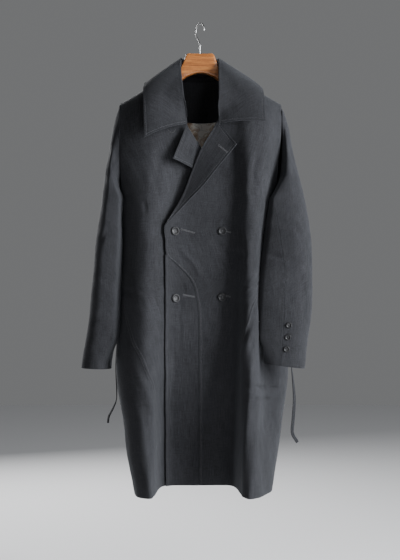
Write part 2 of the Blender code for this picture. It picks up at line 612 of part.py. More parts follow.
# ------------------------------------------------------------------ collar and lapels
def collar_lines():
    """Fold and outer edge of the whole collar, from the right end to the left."""
    right = np.array(COLLAR[1:])
    left = np.array(COLLAR[1:1 + COLLAR_SHOULDER] + COLLAR_LEFT_END)
    both = np.concatenate([right[::-1] * np.array([-1, 1, 1, -1, 1, 1]), left[1:]])
    return both[:, 0:3], both[:, 3:6]


def neck_seam():
    """Line along which the stand is sewn to the neckline, from right to left."""
    half = []
    for k, (x, z) in enumerate(NECK_SEAM[1:]):
        face = "back" if k < COLLAR_SHOULDER else "front"
        half.append([(sign * x, float(body_y(sign * x, z, face)), z) for sign in (-1, 1)])
    half = np.array(half)
    return np.concatenate([half[::-1, 0], half[1:, 1]])


def refine(line, count):
    """The same line with more points, evenly spaced in its own steps."""
    at = np.linspace(0, len(line) - 1, count)
    return np.stack([smooth(at, np.arange(len(line)), line[:, k]) for k in range(3)], axis=-1)


def clear_of_body(points, space):
    """Move points of the leaf out until they clear the body by a given space."""
    points = points.copy()
    for index in np.ndindex(points.shape[:2]):
        x, y, z = points[index]
        edge = abs(float(straight(TOP_EDGE if x > 0 else UNDER_EDGE, z)))
        in_front = y < 0.004
        wide = math.copysign(max(abs(x), edge), x) if in_front else x
        if z > shoulder_z(wide) + space or z < -0.40:
            continue
        below = min(z, float(shoulder_z(wide)) - 0.0005)
        if in_front:
            points[index][1] = min(y, float(body_y(wide, below, "front")) - space)
        elif z < NECK_Z - 0.006:
            points[index][1] = max(y, float(body_y(x, below, "back")) + space)
    return points


def collar_surface(count_along, count_across):
    """Outer points of the collar's leaf from its fold to its edge."""
    fold, edge = (refine(line, count_along) for line in collar_lines())
    share = np.linspace(0, 1, count_across)[None, :, None]
    fall = fold[:, None, :] * (1 - share) + edge[:, None, :] * share
    away = (fold + edge)[:, None, :] / 2 * np.array([0.5, 1, 0]) + np.array([0, 0, 0.05])
    away = away / np.linalg.norm(away, axis=-1, keepdims=True)
    leaf = fall + away * COLLAR_BULGE * 4 * share * (1 - share)
    return clear_of_body(leaf, COLLAR_CLEAR)


def collar(cloth):
    """The leaf that falls over the shoulders, and the stand round the neck below its fold."""
    leaf = collar_surface(33, 6)
    out = grid_out(leaf, (0, 0, 1))
    centre = leaf.mean(axis=(0, 1)) + np.array([0, 0, -0.10])
    wrong = np.sum(out * (leaf - centre), axis=-1, keepdims=True) < 0
    out = np.where(wrong, -out, out)
    wall("collar_leaf", leaf, leaf - out * DOUBLE, cloth)

    unsewn = len(COLLAR) - len(NECK_SEAM)
    fold = refine(collar_lines()[0][unsewn:-unsewn], 19)
    seam = refine(neck_seam(), 19)
    share = np.linspace(0, 1, 3)[None, :, None]
    stand = fold[:, None, :] * (1 - share) + seam[:, None, :] * share
    # It faces straight to the side along the front, and out of the neck's middle at the back.
    out = np.stack([fold[:, 0], np.maximum(fold[:, 1], 0), 0 * fold[:, 2]], axis=-1)[:, None, :]
    out = out / np.linalg.norm(out, axis=-1, keepdims=True)
    # The stand ends a little below and inside the fold, where the leaf's own wall turns over it.
    stand = stand + (np.array([0, 0, -STAND_BELOW]) - out * STAND_INSIDE) * (1 - share)
    wall("collar_stand", stand, stand - out * CLOTH, cloth)


def lapel(name, table, columns, rows, base, material, under=False):
    """A lapel from its roll line to its outer edge, lying on its own front."""
    skin = np.zeros((rows + 1, columns + 1, 3))
    for i, share in enumerate(np.linspace(0, 1, rows + 1)):
        at = {name: float(read(table, name, share)) for name in table[0][1:]}
        for j, across in enumerate(np.linspace(0, 1, columns + 1)):
            x = at["roll_x"] * (1 - across) + at["edge_x"] * across
            z = at["roll_z"] * (1 - across) + at["edge_z"] * across
            y = float(body_y(x, z, "front"))
            if under:
                y += float(behind(np.array([x, y, z])))
            skin[i, j] = (x, y - base - DOUBLE - at["lift"] * across ** 1.3, z)
    out = grid_out(skin, (0, -1, 0))
    return wall(name, skin, skin - out * DOUBLE, material)


def lapels(cloth):
    """The wearer's left lapel lies on top; the right one runs on under the left front."""
    lapel("lapel_left", LAPEL_LEFT, 4, 15, LAPEL_BASE["left"], cloth)
    lapel("lapel_right", LAPEL_RIGHT, 4, 13, LAPEL_BASE["right"], cloth, under=True)


# ------------------------------------------------------------------ inside the neck
def inner_patch(name, half, top, bottom, rows, columns, depth, material):
    """A thin piece lying inside the back, between two heights that follow x."""
    skin = np.zeros((rows + 1, columns + 1, 3))
    for j, x in enumerate(np.linspace(-half, half, columns + 1)):
        for i, share in enumerate(np.linspace(0, 1, rows + 1)):
            z = top(x) * (1 - share) + bottom(x) * share
            skin[i, j] = (x, float(body_y(x, z, "back")), z)
    out = grid_out(skin, (0, 1, 0))
    outer = skin - out * depth
    return wall(name, outer, outer - out * THIN, material)


def neck_inside(cloth, print_cloth):
    """Back neck facing of the coat's own cloth, and the lining that shows below it."""
    def facing_top(x):
        return min(FACING["top"], float(shoulder_z(x)) - 0.012)

    def facing_bottom(x):
        return FACING["bottom"] + FACING["rise"] * x * x

    def lining_top(x):
        return facing_bottom(min(abs(x), FACING["half"])) - LINING["below"]

    inner_patch("back_facing", FACING["half"], facing_top, facing_bottom, 4, 8, FACING_DEPTH, cloth)
    inner_patch("lining", LINING["half"], lining_top, lambda x: LINING["bottom"], 5, 8,
                LINING_DEPTH, print_cloth)


# ------------------------------------------------------------------ ties
def ties(cloth):
    """Narrow strips sewn to the back beside the side seams, hanging down past the sleeves."""
    for side, route in TIE_ROUTES.items():
        line = refine(np.array(route), 25)
        run = np.gradient(line, axis=0)
        run = run / np.linalg.norm(run, axis=-1, keepdims=True)
        turn = np.radians(read(TIE_TURNS[side], "degrees", np.linspace(0, 1, len(line))))
        across = np.stack([np.cos(turn) * SIDES[side], np.sin(turn), 0 * turn], axis=-1)
        across = across - run * np.sum(across * run, axis=-1, keepdims=True)
        across = across / np.linalg.norm(across, axis=-1, keepdims=True)
        out = np.cross(run, across)
        share = np.linspace(-0.5, 0.5, 3)[None, :, None]
        skin = line[:, None, :] + across[:, None, :] * share * TIE_WIDTH
        skin = skin + out[:, None, :] * TIE_THICK / 2
        wall("tie_" + side, skin, skin - out[:, None, :] * TIE_THICK, cloth)


# ------------------------------------------------------------------ buttons
def button_mesh(name, radius):
    """A turned button with a thick rim and a dished middle, on a short thread shank."""
    high = radius * 0.40
    profile = ((0, 0.55), (0.56, 0.55), (0.68, 0.95), (0.86, 1.0), (1.0, 0.72), (0.97, 0.36),
               (0.30, 0.30))
    points = [(r * radius, 0, h * high) for r, h in profile]
    points += [(0.30 * radius, 0, GAP), (0, 0, GAP)]
    mesh = bpy.data.meshes.new(name)
    bm = bmesh.new()
    verts = [bm.verts.new(point) for point in points]
    edges = [bm.edges.new(pair) for pair in zip(verts, verts[1:])]
    bmesh.ops.spin(bm, geom=verts + edges, cent=(0, 0, 0), axis=(0, 0, 1), dvec=(0, 0, 0),
                   angle=math.tau, steps=12, use_merge=True, use_normal_flip=False,
                   use_duplicate=False)
    bmesh.ops.remove_doubles(bm, verts=bm.verts[:], dist=1e-6)
    bmesh.ops.recalc_face_normals(bm, faces=bm.faces[:])
    bm.to_mesh(mesh)
    bm.free()
    mesh.shade_smooth()
    mesh.set_sharp_from_angle(angle=math.radians(40))
    return mesh


def seat(name, mesh, point, out, lift, material):
    """Place a button on a surface point, facing straight out of it."""
    piece = keep(name, mesh.copy(), material)
    turn = Vector(out).to_track_quat("Z", "Y").to_matrix().to_4x4()
    piece.matrix_world = Matrix.Translation(Vector(point) + Vector(out) * lift) @ turn


def front_normal(x, z):
    """Point of the front surface and the direction out of it."""
    reach = 0.006
    y = float(body_y(x, z, "front"))
    slope_x = float(body_y(x + reach, z, "front") - body_y(x - reach, z, "front")) / (2 * reach)
    slope_z = float(body_y(x, z + reach, "front") - body_y(x, z - reach, "front")) / (2 * reach)
    out = np.array([slope_x, -1, slope_z])
    return np.array([x, y, z]), out / np.linalg.norm(out)


def sleeve_seat(side, angle, z):
    """Point of a sleeve at a height and angle, and the direction out of it."""
    shares = np.linspace(0.6, 1, 41)
    heights = [sleeve_point(side, share, angle)[2] for share in shares]
    share = float(np.interp(-z, -np.array(heights), shares))
    around = sleeve_point(side, share, angle + 4) - sleeve_point(side, share, angle - 4)
    down = sleeve_point(side, share + 0.02, angle) - sleeve_point(side, share - 0.02, angle)
    out = np.cross(around, down) * SIDES[side]
    return sleeve_point(side, share, angle), out / np.linalg.norm(out)


def buttons(horn):
    """Four front buttons, and three on each cuff beside its elbow seam."""
    large = button_mesh("front_button", BUTTON_R)
    small = button_mesh("sleeve_button", CUFF_BUTTON_R)
    for number, (x, z) in enumerate(FRONT_BUTTONS, 1):
        seat(f"front_button_{number}", large, *front_normal(x, z), BUTTON_LIFT, horn)
    for side in SIDES:
        angle = ELBOW_SEAM[side] + CUFF_BUTTON_LEAD * (1 if side == "right" else -1)
        for number, z in enumerate(CUFF_BUTTON_Z, 1):
            point, out = sleeve_seat(side, angle, z)
            seat(f"cuff_button_{side}_{number}", small, point, out, CUFF_BUTTON_LIFT, horn)


# ------------------------------------------------------------------ hanger
def hanger_wood(wood):
    """The bar: a flat-topped middle between arms that follow the shoulders."""
    knots = [row[0] for row in WOOD[1:]]
    stations = sorted({*knots, *WOOD_STATIONS})
    stations = [-x for x in stations[:0:-1]] + stations
    around = np.linspace(0, math.tau, 12, endpoint=False) + math.tau / 24
    bm = bmesh.new()
    loops = []
    for x in stations:
        top, bottom, half = (float(np.interp(abs(x), knots, [row[k] for row in WOOD[1:]]))
                             for k in (1, 2, 3))
        ring = []
        for turn in around:
            y = half * math.copysign(abs(math.cos(turn)) ** WOOD_SQUARE, math.cos(turn))
            rise = math.copysign(abs(math.sin(turn)) ** WOOD_SQUARE, math.sin(turn))
            z = (top + bottom) / 2 + (top - bottom) / 2 * rise
            if abs(x) > NECK_SIDE and rise > 0:
                z = min(z, seat_below_shoulder(x, y))
            ring.append(bm.verts.new((x, y, z)))
        loops.append([bm.edges.new((a, b)) for a, b in zip(ring, ring[1:] + ring[:1])])
    for left, right in zip(loops, loops[1:]):
        bmesh.ops.bridge_loops(bm, edges=left + right)
    for end in (loops[0], loops[-1]):
        bmesh.ops.edgeloop_fill(bm, edges=end)
    bmesh.ops.recalc_face_normals(bm, faces=bm.faces[:])
    mesh = bpy.data.meshes.new("hanger_wood")
    bm.to_mesh(mesh)
    bm.free()
    mesh.shade_smooth()
    mesh.set_sharp_from_angle(angle=math.radians(45))
    keep("hanger_wood", mesh, wood)


def seat_below_shoulder(x, y):
    """Highest the wood may reach under the shoulder's cloth at x and y."""
    return float(shoulder_z(x)) - CLOTH * 1.35 - GAP - SEAT_FALL * abs(y)


def hook(steel):
    """The wire hook: a stem, a swing to one side, and a bend over the rail."""
    centre = HOOK_WIRE_R - HOOK_R
    bend = [math.radians(a) for a in np.linspace(205, -12, 19)]
    flat = [(0.0, WOOD_TOP + GAP), *HOOK_STEM]
    flat += [(HOOK_R * math.cos(a), centre + HOOK_R * math.sin(a)) for a in bend]
    curve = bpy.data.curves.new("hanger_hook", "CURVE")
    curve.dimensions = "3D"
    curve.bevel_depth = HOOK_WIRE_R
    curve.bevel_resolution = 2
    curve.use_fill_caps = True
    spline = curve.splines.new("POLY")
    spline.points.add(len(flat) - 1)
    for point, (across, z) in zip(spline.points, flat):
        point.co = (across * math.cos(HOOK_TURN), -across * math.sin(HOOK_TURN), z, 1)
    piece = bpy.data.objects.new("hanger_hook", curve)
    curve.materials.append(steel)
    bpy.data.collections["coat"].objects.link(piece)


# ------------------------------------------------------------------ the whole part
def main():
    for old in list(bpy.data.objects):
        bpy.data.objects.remove(old, do_unlink=True)
    group = bpy.data.collections.new("coat")
    bpy.context.scene.collection.children.link(group)
    cloth = finish("charcoal_cloth", (0.030, 0.032, 0.037), 0.92)
    print_cloth = finish("printed_lining", (0.42, 0.36, 0.30), 0.55)
    horn = finish("dark_horn", (0.020, 0.020, 0.022), 0.42)
    wood = finish("varnished_wood", (0.50, 0.22, 0.07), 0.38)
    steel = finish("steel_wire", (0.55, 0.55, 0.56), 0.32, 1.0)
    body_panels(cloth)
    sleeves(cloth)
    collar(cloth)
    lapels(cloth)
    neck_inside(cloth, print_cloth)
    ties(cloth)
    buttons(horn)
    hanger_wood(wood)
    hook(steel)


main()
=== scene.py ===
# %% [markdown]
# # A long double-breasted coat on a wooden hanger
#
# The coat was cut and sewn from flat panels, and it hangs empty on its hanger. The CAD model has
# every panel as a plain wall. This lesson reads the points of each wall, draws a fine smooth cloth
# through them, presses the creases in, and adds what a tailor adds: stitches, buttonholes,
# buttons and thread. Everything is in metres, +Z is up, and the front of the coat faces -Y.

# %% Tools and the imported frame
import math

import bmesh
import bpy
import numpy as np
from mathutils import Matrix, Vector
from mathutils.bvhtree import BVHTree


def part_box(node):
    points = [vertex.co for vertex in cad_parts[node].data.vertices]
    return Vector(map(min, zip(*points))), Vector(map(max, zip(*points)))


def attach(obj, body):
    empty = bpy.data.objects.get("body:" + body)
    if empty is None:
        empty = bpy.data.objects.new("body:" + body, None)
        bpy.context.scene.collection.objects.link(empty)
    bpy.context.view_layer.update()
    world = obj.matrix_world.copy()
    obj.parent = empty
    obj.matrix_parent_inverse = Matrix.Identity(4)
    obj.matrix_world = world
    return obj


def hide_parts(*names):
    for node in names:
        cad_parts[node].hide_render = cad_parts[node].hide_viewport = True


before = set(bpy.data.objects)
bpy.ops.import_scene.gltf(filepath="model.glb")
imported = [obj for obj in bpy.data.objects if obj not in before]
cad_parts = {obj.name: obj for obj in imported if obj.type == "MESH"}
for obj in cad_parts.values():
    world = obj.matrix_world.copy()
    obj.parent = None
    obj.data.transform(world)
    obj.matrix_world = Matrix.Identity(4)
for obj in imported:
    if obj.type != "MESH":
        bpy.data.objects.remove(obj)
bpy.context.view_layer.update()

# %% [markdown]
# ## The camera
#
# A coat is photographed from its own mid height with a longish lens, so that the hem and the
# shoulders are seen straight on. The camera stands a little over three metres away, level, and
# the lens gives a portrait picture of 400 by 560 the same field as the photograph's.

# %% Camera
CAMERA_AT = (0.0, -3.135, -0.6688)
LENS_MM = 36.0 * 1200 / 560

camera = bpy.data.objects.new("camera", bpy.data.cameras.new("camera"))
camera.data.lens = LENS_MM
camera.location = CAMERA_AT
camera.rotation_euler = (math.radians(90), 0, 0)
bpy.context.scene.collection.objects.link(camera)
bpy.context.scene.camera = camera
print("camera: lens", round(LENS_MM, 2), "mm")

# %% [markdown]
# ## Helpers for materials
#
# A material here is a short chain of nodes. Two helpers keep the chains readable: one adds a node
# with its settings and links, the other starts a material and hands over its shader.


# %% Material helpers
def new_material(name, **sockets):
    """Start a material and set constants on its shader's own sockets."""
    material = bpy.data.materials.new(name)
    material.use_nodes = True
    shader = material.node_tree.nodes["Principled BSDF"]
    for socket, value in sockets.items():
        shader.inputs[socket.replace("_", " ")].default_value = value
    return material, material.node_tree, shader


def add_node(tree, kind, links=(), inputs=(), **settings):
    """Add a node, set its properties and inputs, and link (input, output socket) pairs."""
    node = tree.nodes.new(kind)
    for name, value in settings.items():
        setattr(node, name, value)
    for name, value in inputs:
        node.inputs[name].default_value = value
    for name, source in links:
        tree.links.new(source, node.inputs[name])
    return node


def ramp(tree, factor, *stops):
    """A colour ramp with (position, grey or colour) stops, read by a factor."""
    node = add_node(tree, "ShaderNodeValToRGB", [("Fac", factor)])
    points = node.color_ramp.elements
    while len(points) < len(stops):
        points.new(0.5)
    for point, (at, value) in zip(points, stops):
        point.position = at
        point.color = (*value, 1) if isinstance(value, tuple) else (value, value, value, 1)
    return node.outputs["Color"]


def maths(tree, operation, first, second=0.5, clamp=False):
    """One Math node; each side is a socket or a number."""
    node = tree.nodes.new("ShaderNodeMath")
    node.operation = operation
    node.use_clamp = clamp
    for socket, value in zip(node.inputs, (first, second)):
        if isinstance(value, bpy.types.NodeSocket):
            tree.links.new(value, socket)
        else:
            socket.default_value = value
    return node.outputs[0]


def mix(tree, factor, first, second, blend="MIX"):
    """Blend two colours; each is a socket or a colour."""
    node = tree.nodes.new("ShaderNodeMix")
    node.data_type = "RGBA"
    node.blend_type = blend
    for name, value in ((0, factor), (6, first), (7, second)):
        socket = node.inputs[name]
        if isinstance(value, bpy.types.NodeSocket):
            tree.links.new(value, socket)
        else:
            socket.default_value = (*value, 1) if isinstance(value, tuple) else value
    return node.outputs[2]


# %% [markdown]
# ## The coat's cloth
#
# The cloth is a fine dense weave of charcoal wool-like yarn. Close to, each yarn is a little
# rounder and lighter on top than between its neighbours, some yarns are thicker or paler than
# others, and a fine haze of loose fibre softens the edges against the light. The pattern follows
# the cloth: it reads the piece's own map, whose numbers are metres across and down the cloth, so
# a yarn is the same width on the sleeve and on the back.


# %% Charcoal cloth
YARN_PITCH = 0.00085     # from one yarn to the next


def cloth_material(name, dark, light, slub=0.5):
    """Woven charcoal cloth: yarns both ways, slubs, flecks, worn patches and painted crease shade."""
    material, tree, shader = new_material(
        name, Roughness=0.93, Specular_IOR_Level=0.16, Sheen_Weight=0.10, Sheen_Roughness=0.42,
        Sheen_Tint=(0.80, 0.84, 0.92, 1))
    uv = add_node(tree, "ShaderNodeUVMap", uv_map="cloth").outputs["UV"]
    place = add_node(tree, "ShaderNodeTexCoord").outputs["Object"]
    # Yarns: one soft wave across and one down, woven over and under by their product.
    turns = add_node(tree, "ShaderNodeVectorMath", [(0, uv)],
                     [(1, (math.tau / YARN_PITCH,) * 3)], operation="MULTIPLY").outputs[0]
    split = add_node(tree, "ShaderNodeSeparateXYZ", [("Vector", turns)])
    across = maths(tree, "SINE", split.outputs["X"])
    down = maths(tree, "SINE", split.outputs["Y"])
    weave = maths(tree, "MULTIPLY", across, down)
    weave = maths(tree, "MULTIPLY_ADD", weave, 0.5)
    # Slubs: noise drawn out along each yarn direction.
    streaks = []
    for scale in ((640, 26, 1), (34, 560, 1)):
        drawn = add_node(tree, "ShaderNodeMapping", [("Vector", uv)], [("Scale", scale)])
        noise = add_node(tree, "ShaderNodeTexNoise", [("Vector", drawn.outputs[0])],
                         [("Scale", 1.0), ("Detail", 2.0)])
        streaks.append(ramp(tree, noise.outputs["Fac"], (0.38, 0.0), (0.64, 1.0)))
    slubs = mix(tree, 0.38, streaks[0], streaks[1])
    flecks = add_node(tree, "ShaderNodeTexNoise", [("Vector", place)],
                      [("Scale", 420.0), ("Detail", 3.0), ("Roughness", 0.7)])
    patches = add_node(tree, "ShaderNodeTexNoise", [("Vector", place)],
                       [("Scale", 7.0), ("Detail", 4.0), ("Roughness", 0.55)])
    tone = mix(tree, slub, ramp(tree, flecks.outputs["Fac"], (0.30, 0.0), (0.70, 1.0)), slubs)
    woven = mix(tree, 0.22, tone, ramp(tree, patches.outputs["Fac"], (0.30, 0.0), (0.70, 1.0)))
    # Painted shade: this attribute darkens the cloth's colour in the sharp kept creases and lightens it
    # faintly on the low ridge beside each.
    crease_shade = add_node(tree, "ShaderNodeAttribute", attribute_name="crease_shade").outputs["Fac"]
    tone = maths(tree, "MULTIPLY_ADD", crease_shade, -0.34)
    tree.links.new(woven, tone.node.inputs[2])
    tone.node.use_clamp = True
    colour = mix(tree, tone, dark, light)
    tree.links.new(colour, shader.inputs["Base Color"])
    height = maths(tree, "ADD", weave, tone)
    bump = add_node(tree, "ShaderNodeBump", [("Height", height)],
                    [("Strength", 0.35), ("Distance", 0.00035)])
    tree.links.new(bump.outputs[0], shader.inputs["Normal"])
    return material


CHARCOAL = cloth_material("charcoal_weave", (0.0030, 0.0031, 0.0036), (0.036, 0.0365, 0.0410))
print("material:", CHARCOAL.name, "with yarns every", YARN_PITCH * 1000, "mm")

# %% [markdown]
# ## Reading a panel out of the CAD model
#
# Each cloth solid is a wall: a grid of outside points, a grid of inside points, and a rim between
# them. A subdivision of that closed wall would do, but then a crease could not be aimed and a
# seam could not be found. So the wall is taken apart once: the rim faces are deleted, which
# leaves two loose skins, and each skin is walked corner to corner into rows and columns.


# %% Rows and columns of a wall
def skins_of(node, thickness):
    """The two skins of a wall as dicts of vertex to neighbours, with the wall's vertices."""
    bm = bmesh.new()
    bm.from_mesh(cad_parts[node].data)
    bmesh.ops.remove_doubles(bm, verts=bm.verts[:], dist=1e-5)
    rim = {face for edge in bm.edges if abs(edge.calc_length() / thickness - 1) < 0.004
           for face in edge.link_faces}
    bmesh.ops.delete(bm, geom=list(rim), context="FACES_ONLY")
    loose = [edge for edge in bm.edges if not edge.link_faces]
    bmesh.ops.delete(bm, geom=loose, context="EDGES")
    left, skins = set(bm.verts), []
    while left:
        reach, skin = [left.pop()], set()
        while reach:
            vert = reach.pop()
            skin.add(vert)
            near = {edge.other_vert(vert) for edge in vert.link_edges} & left
            left -= near
            reach += near
        if len(skin) > 3:
            skins.append(skin)
    return bm, skins


def walk(skin, start, along, columns):
    """Rows of a skin from a corner, its first row running through a boundary neighbour."""
    def beside(vert):
        return {edge.other_vert(vert) for edge in vert.link_edges}

    def on_edge(vert):
        return {edge.other_vert(vert) for edge in vert.link_edges if edge.is_boundary}

    first = [start, along]
    while len(first) <= columns:
        ahead = on_edge(first[-1]) - set(first)
        if not ahead:
            return None
        first.append(ahead.pop())
    rows, used = [first], set(first)
    while len(used) < len(skin):
        lead = on_edge(rows[-1][0]) - used
        if not lead:
            return None
        row = [lead.pop()]
        used.add(row[0])
        for above in rows[-1][1:]:
            found = (beside(above) & beside(row[-1])) - used
            if len(found) > 1:
                return None
            row.append(found.pop() if found else row[-1])    # two columns may meet in a point
            used.add(row[-1])
        rows.append(row)
    return rows


def grid_of_skin(skin):
    """Points of a skin in rows and columns, whichever corner the walk starts from."""
    edges = {edge for vert in skin for edge in vert.link_edges if edge.is_boundary}
    meeting = len(edges) % 2
    half, count = (len(edges) + meeting) // 2, len(skin) + meeting
    product = count - half - 1
    root = math.sqrt(half * half - 4 * product)
    for columns in (round((half - root) / 2), round((half + root) / 2)):
        for start in {vert for edge in edges for vert in edge.verts}:
            for edge in [edge for edge in start.link_edges if edge.is_boundary]:
                rows = walk(skin, start, edge.other_vert(start), columns)
                if rows and len(rows) * (columns + 1) == count:
                    return np.array([[tuple(vert.co) for vert in row] for row in rows])
    raise ValueError("a skin is not a grid")


def turned(points):
    """The grid turned so that its rows run down and its columns from -X to +X."""
    fall = [abs(np.diff(points[..., 2], axis=k)).mean() / np.linalg.norm(
        np.diff(points, axis=k), axis=-1).mean() for k in (0, 1)]
    if fall[1] > fall[0]:
        points = points.transpose(1, 0, 2)
    if points[0, :, 2].mean() < points[-1, :, 2].mean():
        points = points[::-1]
    if points[:, 0, 0].mean() > points[:, -1, 0].mean():
        points = points[:, ::-1]
    return points


def wall_grid(node, thickness, centre):
    """Outside points of a wall and the directions out of it, in rows and columns."""
    bm, skins = skins_of(node, thickness)
    one, two = (grid_of_skin(skin) for skin in skins)
    bm.free()
    one = turned(one)
    fits = [two, two.transpose(1, 0, 2)]
    fits = [fit[::a, ::b] for fit in fits for a in (1, -1) for b in (1, -1)]
    fits = [fit for fit in fits if fit.shape == one.shape]
    two = min(fits, key=lambda fit: float(np.abs(fit - one).sum()))
    away = one - two
    if np.sum(away * (one - np.asarray(centre))) < 0:
        one, away = two, -away
    out = away / np.linalg.norm(away, axis=-1, keepdims=True)
    return one, out


# %% [markdown]
# The table gives each wall its thickness and a point that lies behind it, so that its two skins
# can be told apart. Body cloth is 2 mm, the collar and lapels are two layers with a stiffener
# between them, and the lining is thin. A sleeve's panels are seen from the sleeve's own middle.

# %% Every cloth wall
CLOTH, DOUBLE, THIN, TIE_THICK = 0.0020, 0.0026, 0.0012, 0.0024
MIDDLE, BEHIND = (0, 0.02, -0.7), (0, 0.5, -0.3)
WALLS = {
    **{name: (CLOTH, MIDDLE) for name in (
        "front_left", "overlap_left", "side_left", "front_right", "side_right", "back")},
    "collar_leaf": (DOUBLE, (0, 0, -0.30)), "collar_stand": (CLOTH, (0, 0, -0.15)),
    "lapel_left": (DOUBLE, BEHIND), "lapel_right": (DOUBLE, BEHIND),
    "back_facing": (THIN, BEHIND), "lining": (THIN, BEHIND),
    "tie_right": (TIE_THICK, MIDDLE), "tie_left": (TIE_THICK, MIDDLE),
}
for side in ("right", "left"):
    box = [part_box(f"sleeve_{side}_{part}") for part in ("top", "under")]
    middle = np.mean([np.mean(ends, axis=0) for ends in box], axis=0)
    WALLS.update({f"sleeve_{side}_{part}": (CLOTH, middle) for part in ("top", "under")})

GRIDS = {name: wall_grid(name, *facts) for name, facts in WALLS.items()}
for name, (points, out) in GRIDS.items():
    print(name, points.shape[:2], "faces", [round(float(v), 2) for v in out.mean(axis=(0, 1))])

# %% [markdown]
# ## Fine cloth through the wall's points
#
# A panel's points are about 30 mm apart, which is as coarse as a paper pattern's notches. A smooth
# cubic curve through every row and column (Catmull-Rom) gives the cloth its drape without moving
# any seam. A subdivision surface would shrink away from the points and open the seams, so the
# curve that passes through them is the better tool here.


# %% Smooth curves through a grid
def finer(points, times, closed=False):
    """Cut every span along the first axis into a number of smooth steps."""
    if closed:
        knots = np.concatenate([points[-1:], points, points[:2]])
    else:
        knots = np.concatenate([[2 * points[0] - points[1]], points, [2 * points[-1] - points[-2]]])
    a, b, c, d = knots[:-3], knots[1:-2], knots[2:-1], knots[3:]
    steps = [b + t / 2 * ((c - a) + t * ((2 * a - 5 * b + 4 * c - d) + t * (3 * b - a - 3 * c + d)))
             for t in np.arange(times) / times]
    joined = np.stack(steps, axis=1).reshape(-1, *points.shape[1:])
    return joined if closed else np.concatenate([joined, points[-1:]])


def finer_grid(points, times):
    """A smooth grid with more rows and columns through the same points."""
    return finer(finer(points, times).swapaxes(0, 1), times).swapaxes(0, 1)


def unit(vectors):
    return vectors / np.maximum(np.linalg.norm(vectors, axis=-1, keepdims=True), 1e-9)


print("one span of 30 mm becomes steps of", 30 / 7, "mm")

# %% [markdown]
# ## Creases, folds and the cloth's unevenness
#
# Empty cloth keeps marks: flat storage creases across the skirt, drag lines from the shoulder and
# the armhole, soft breaks at the elbow, and a slow unevenness everywhere. Each mark is a line on
# the front or the back, given as X and Z on the coat, with a depth and a width. Because a mark
# depends on the place alone, two panels that meet at a seam, or lie on each other, are pressed
# alike and never cut through each other. Real marks are uneven, so each one's depth wanders
# along it and fades at both ends.

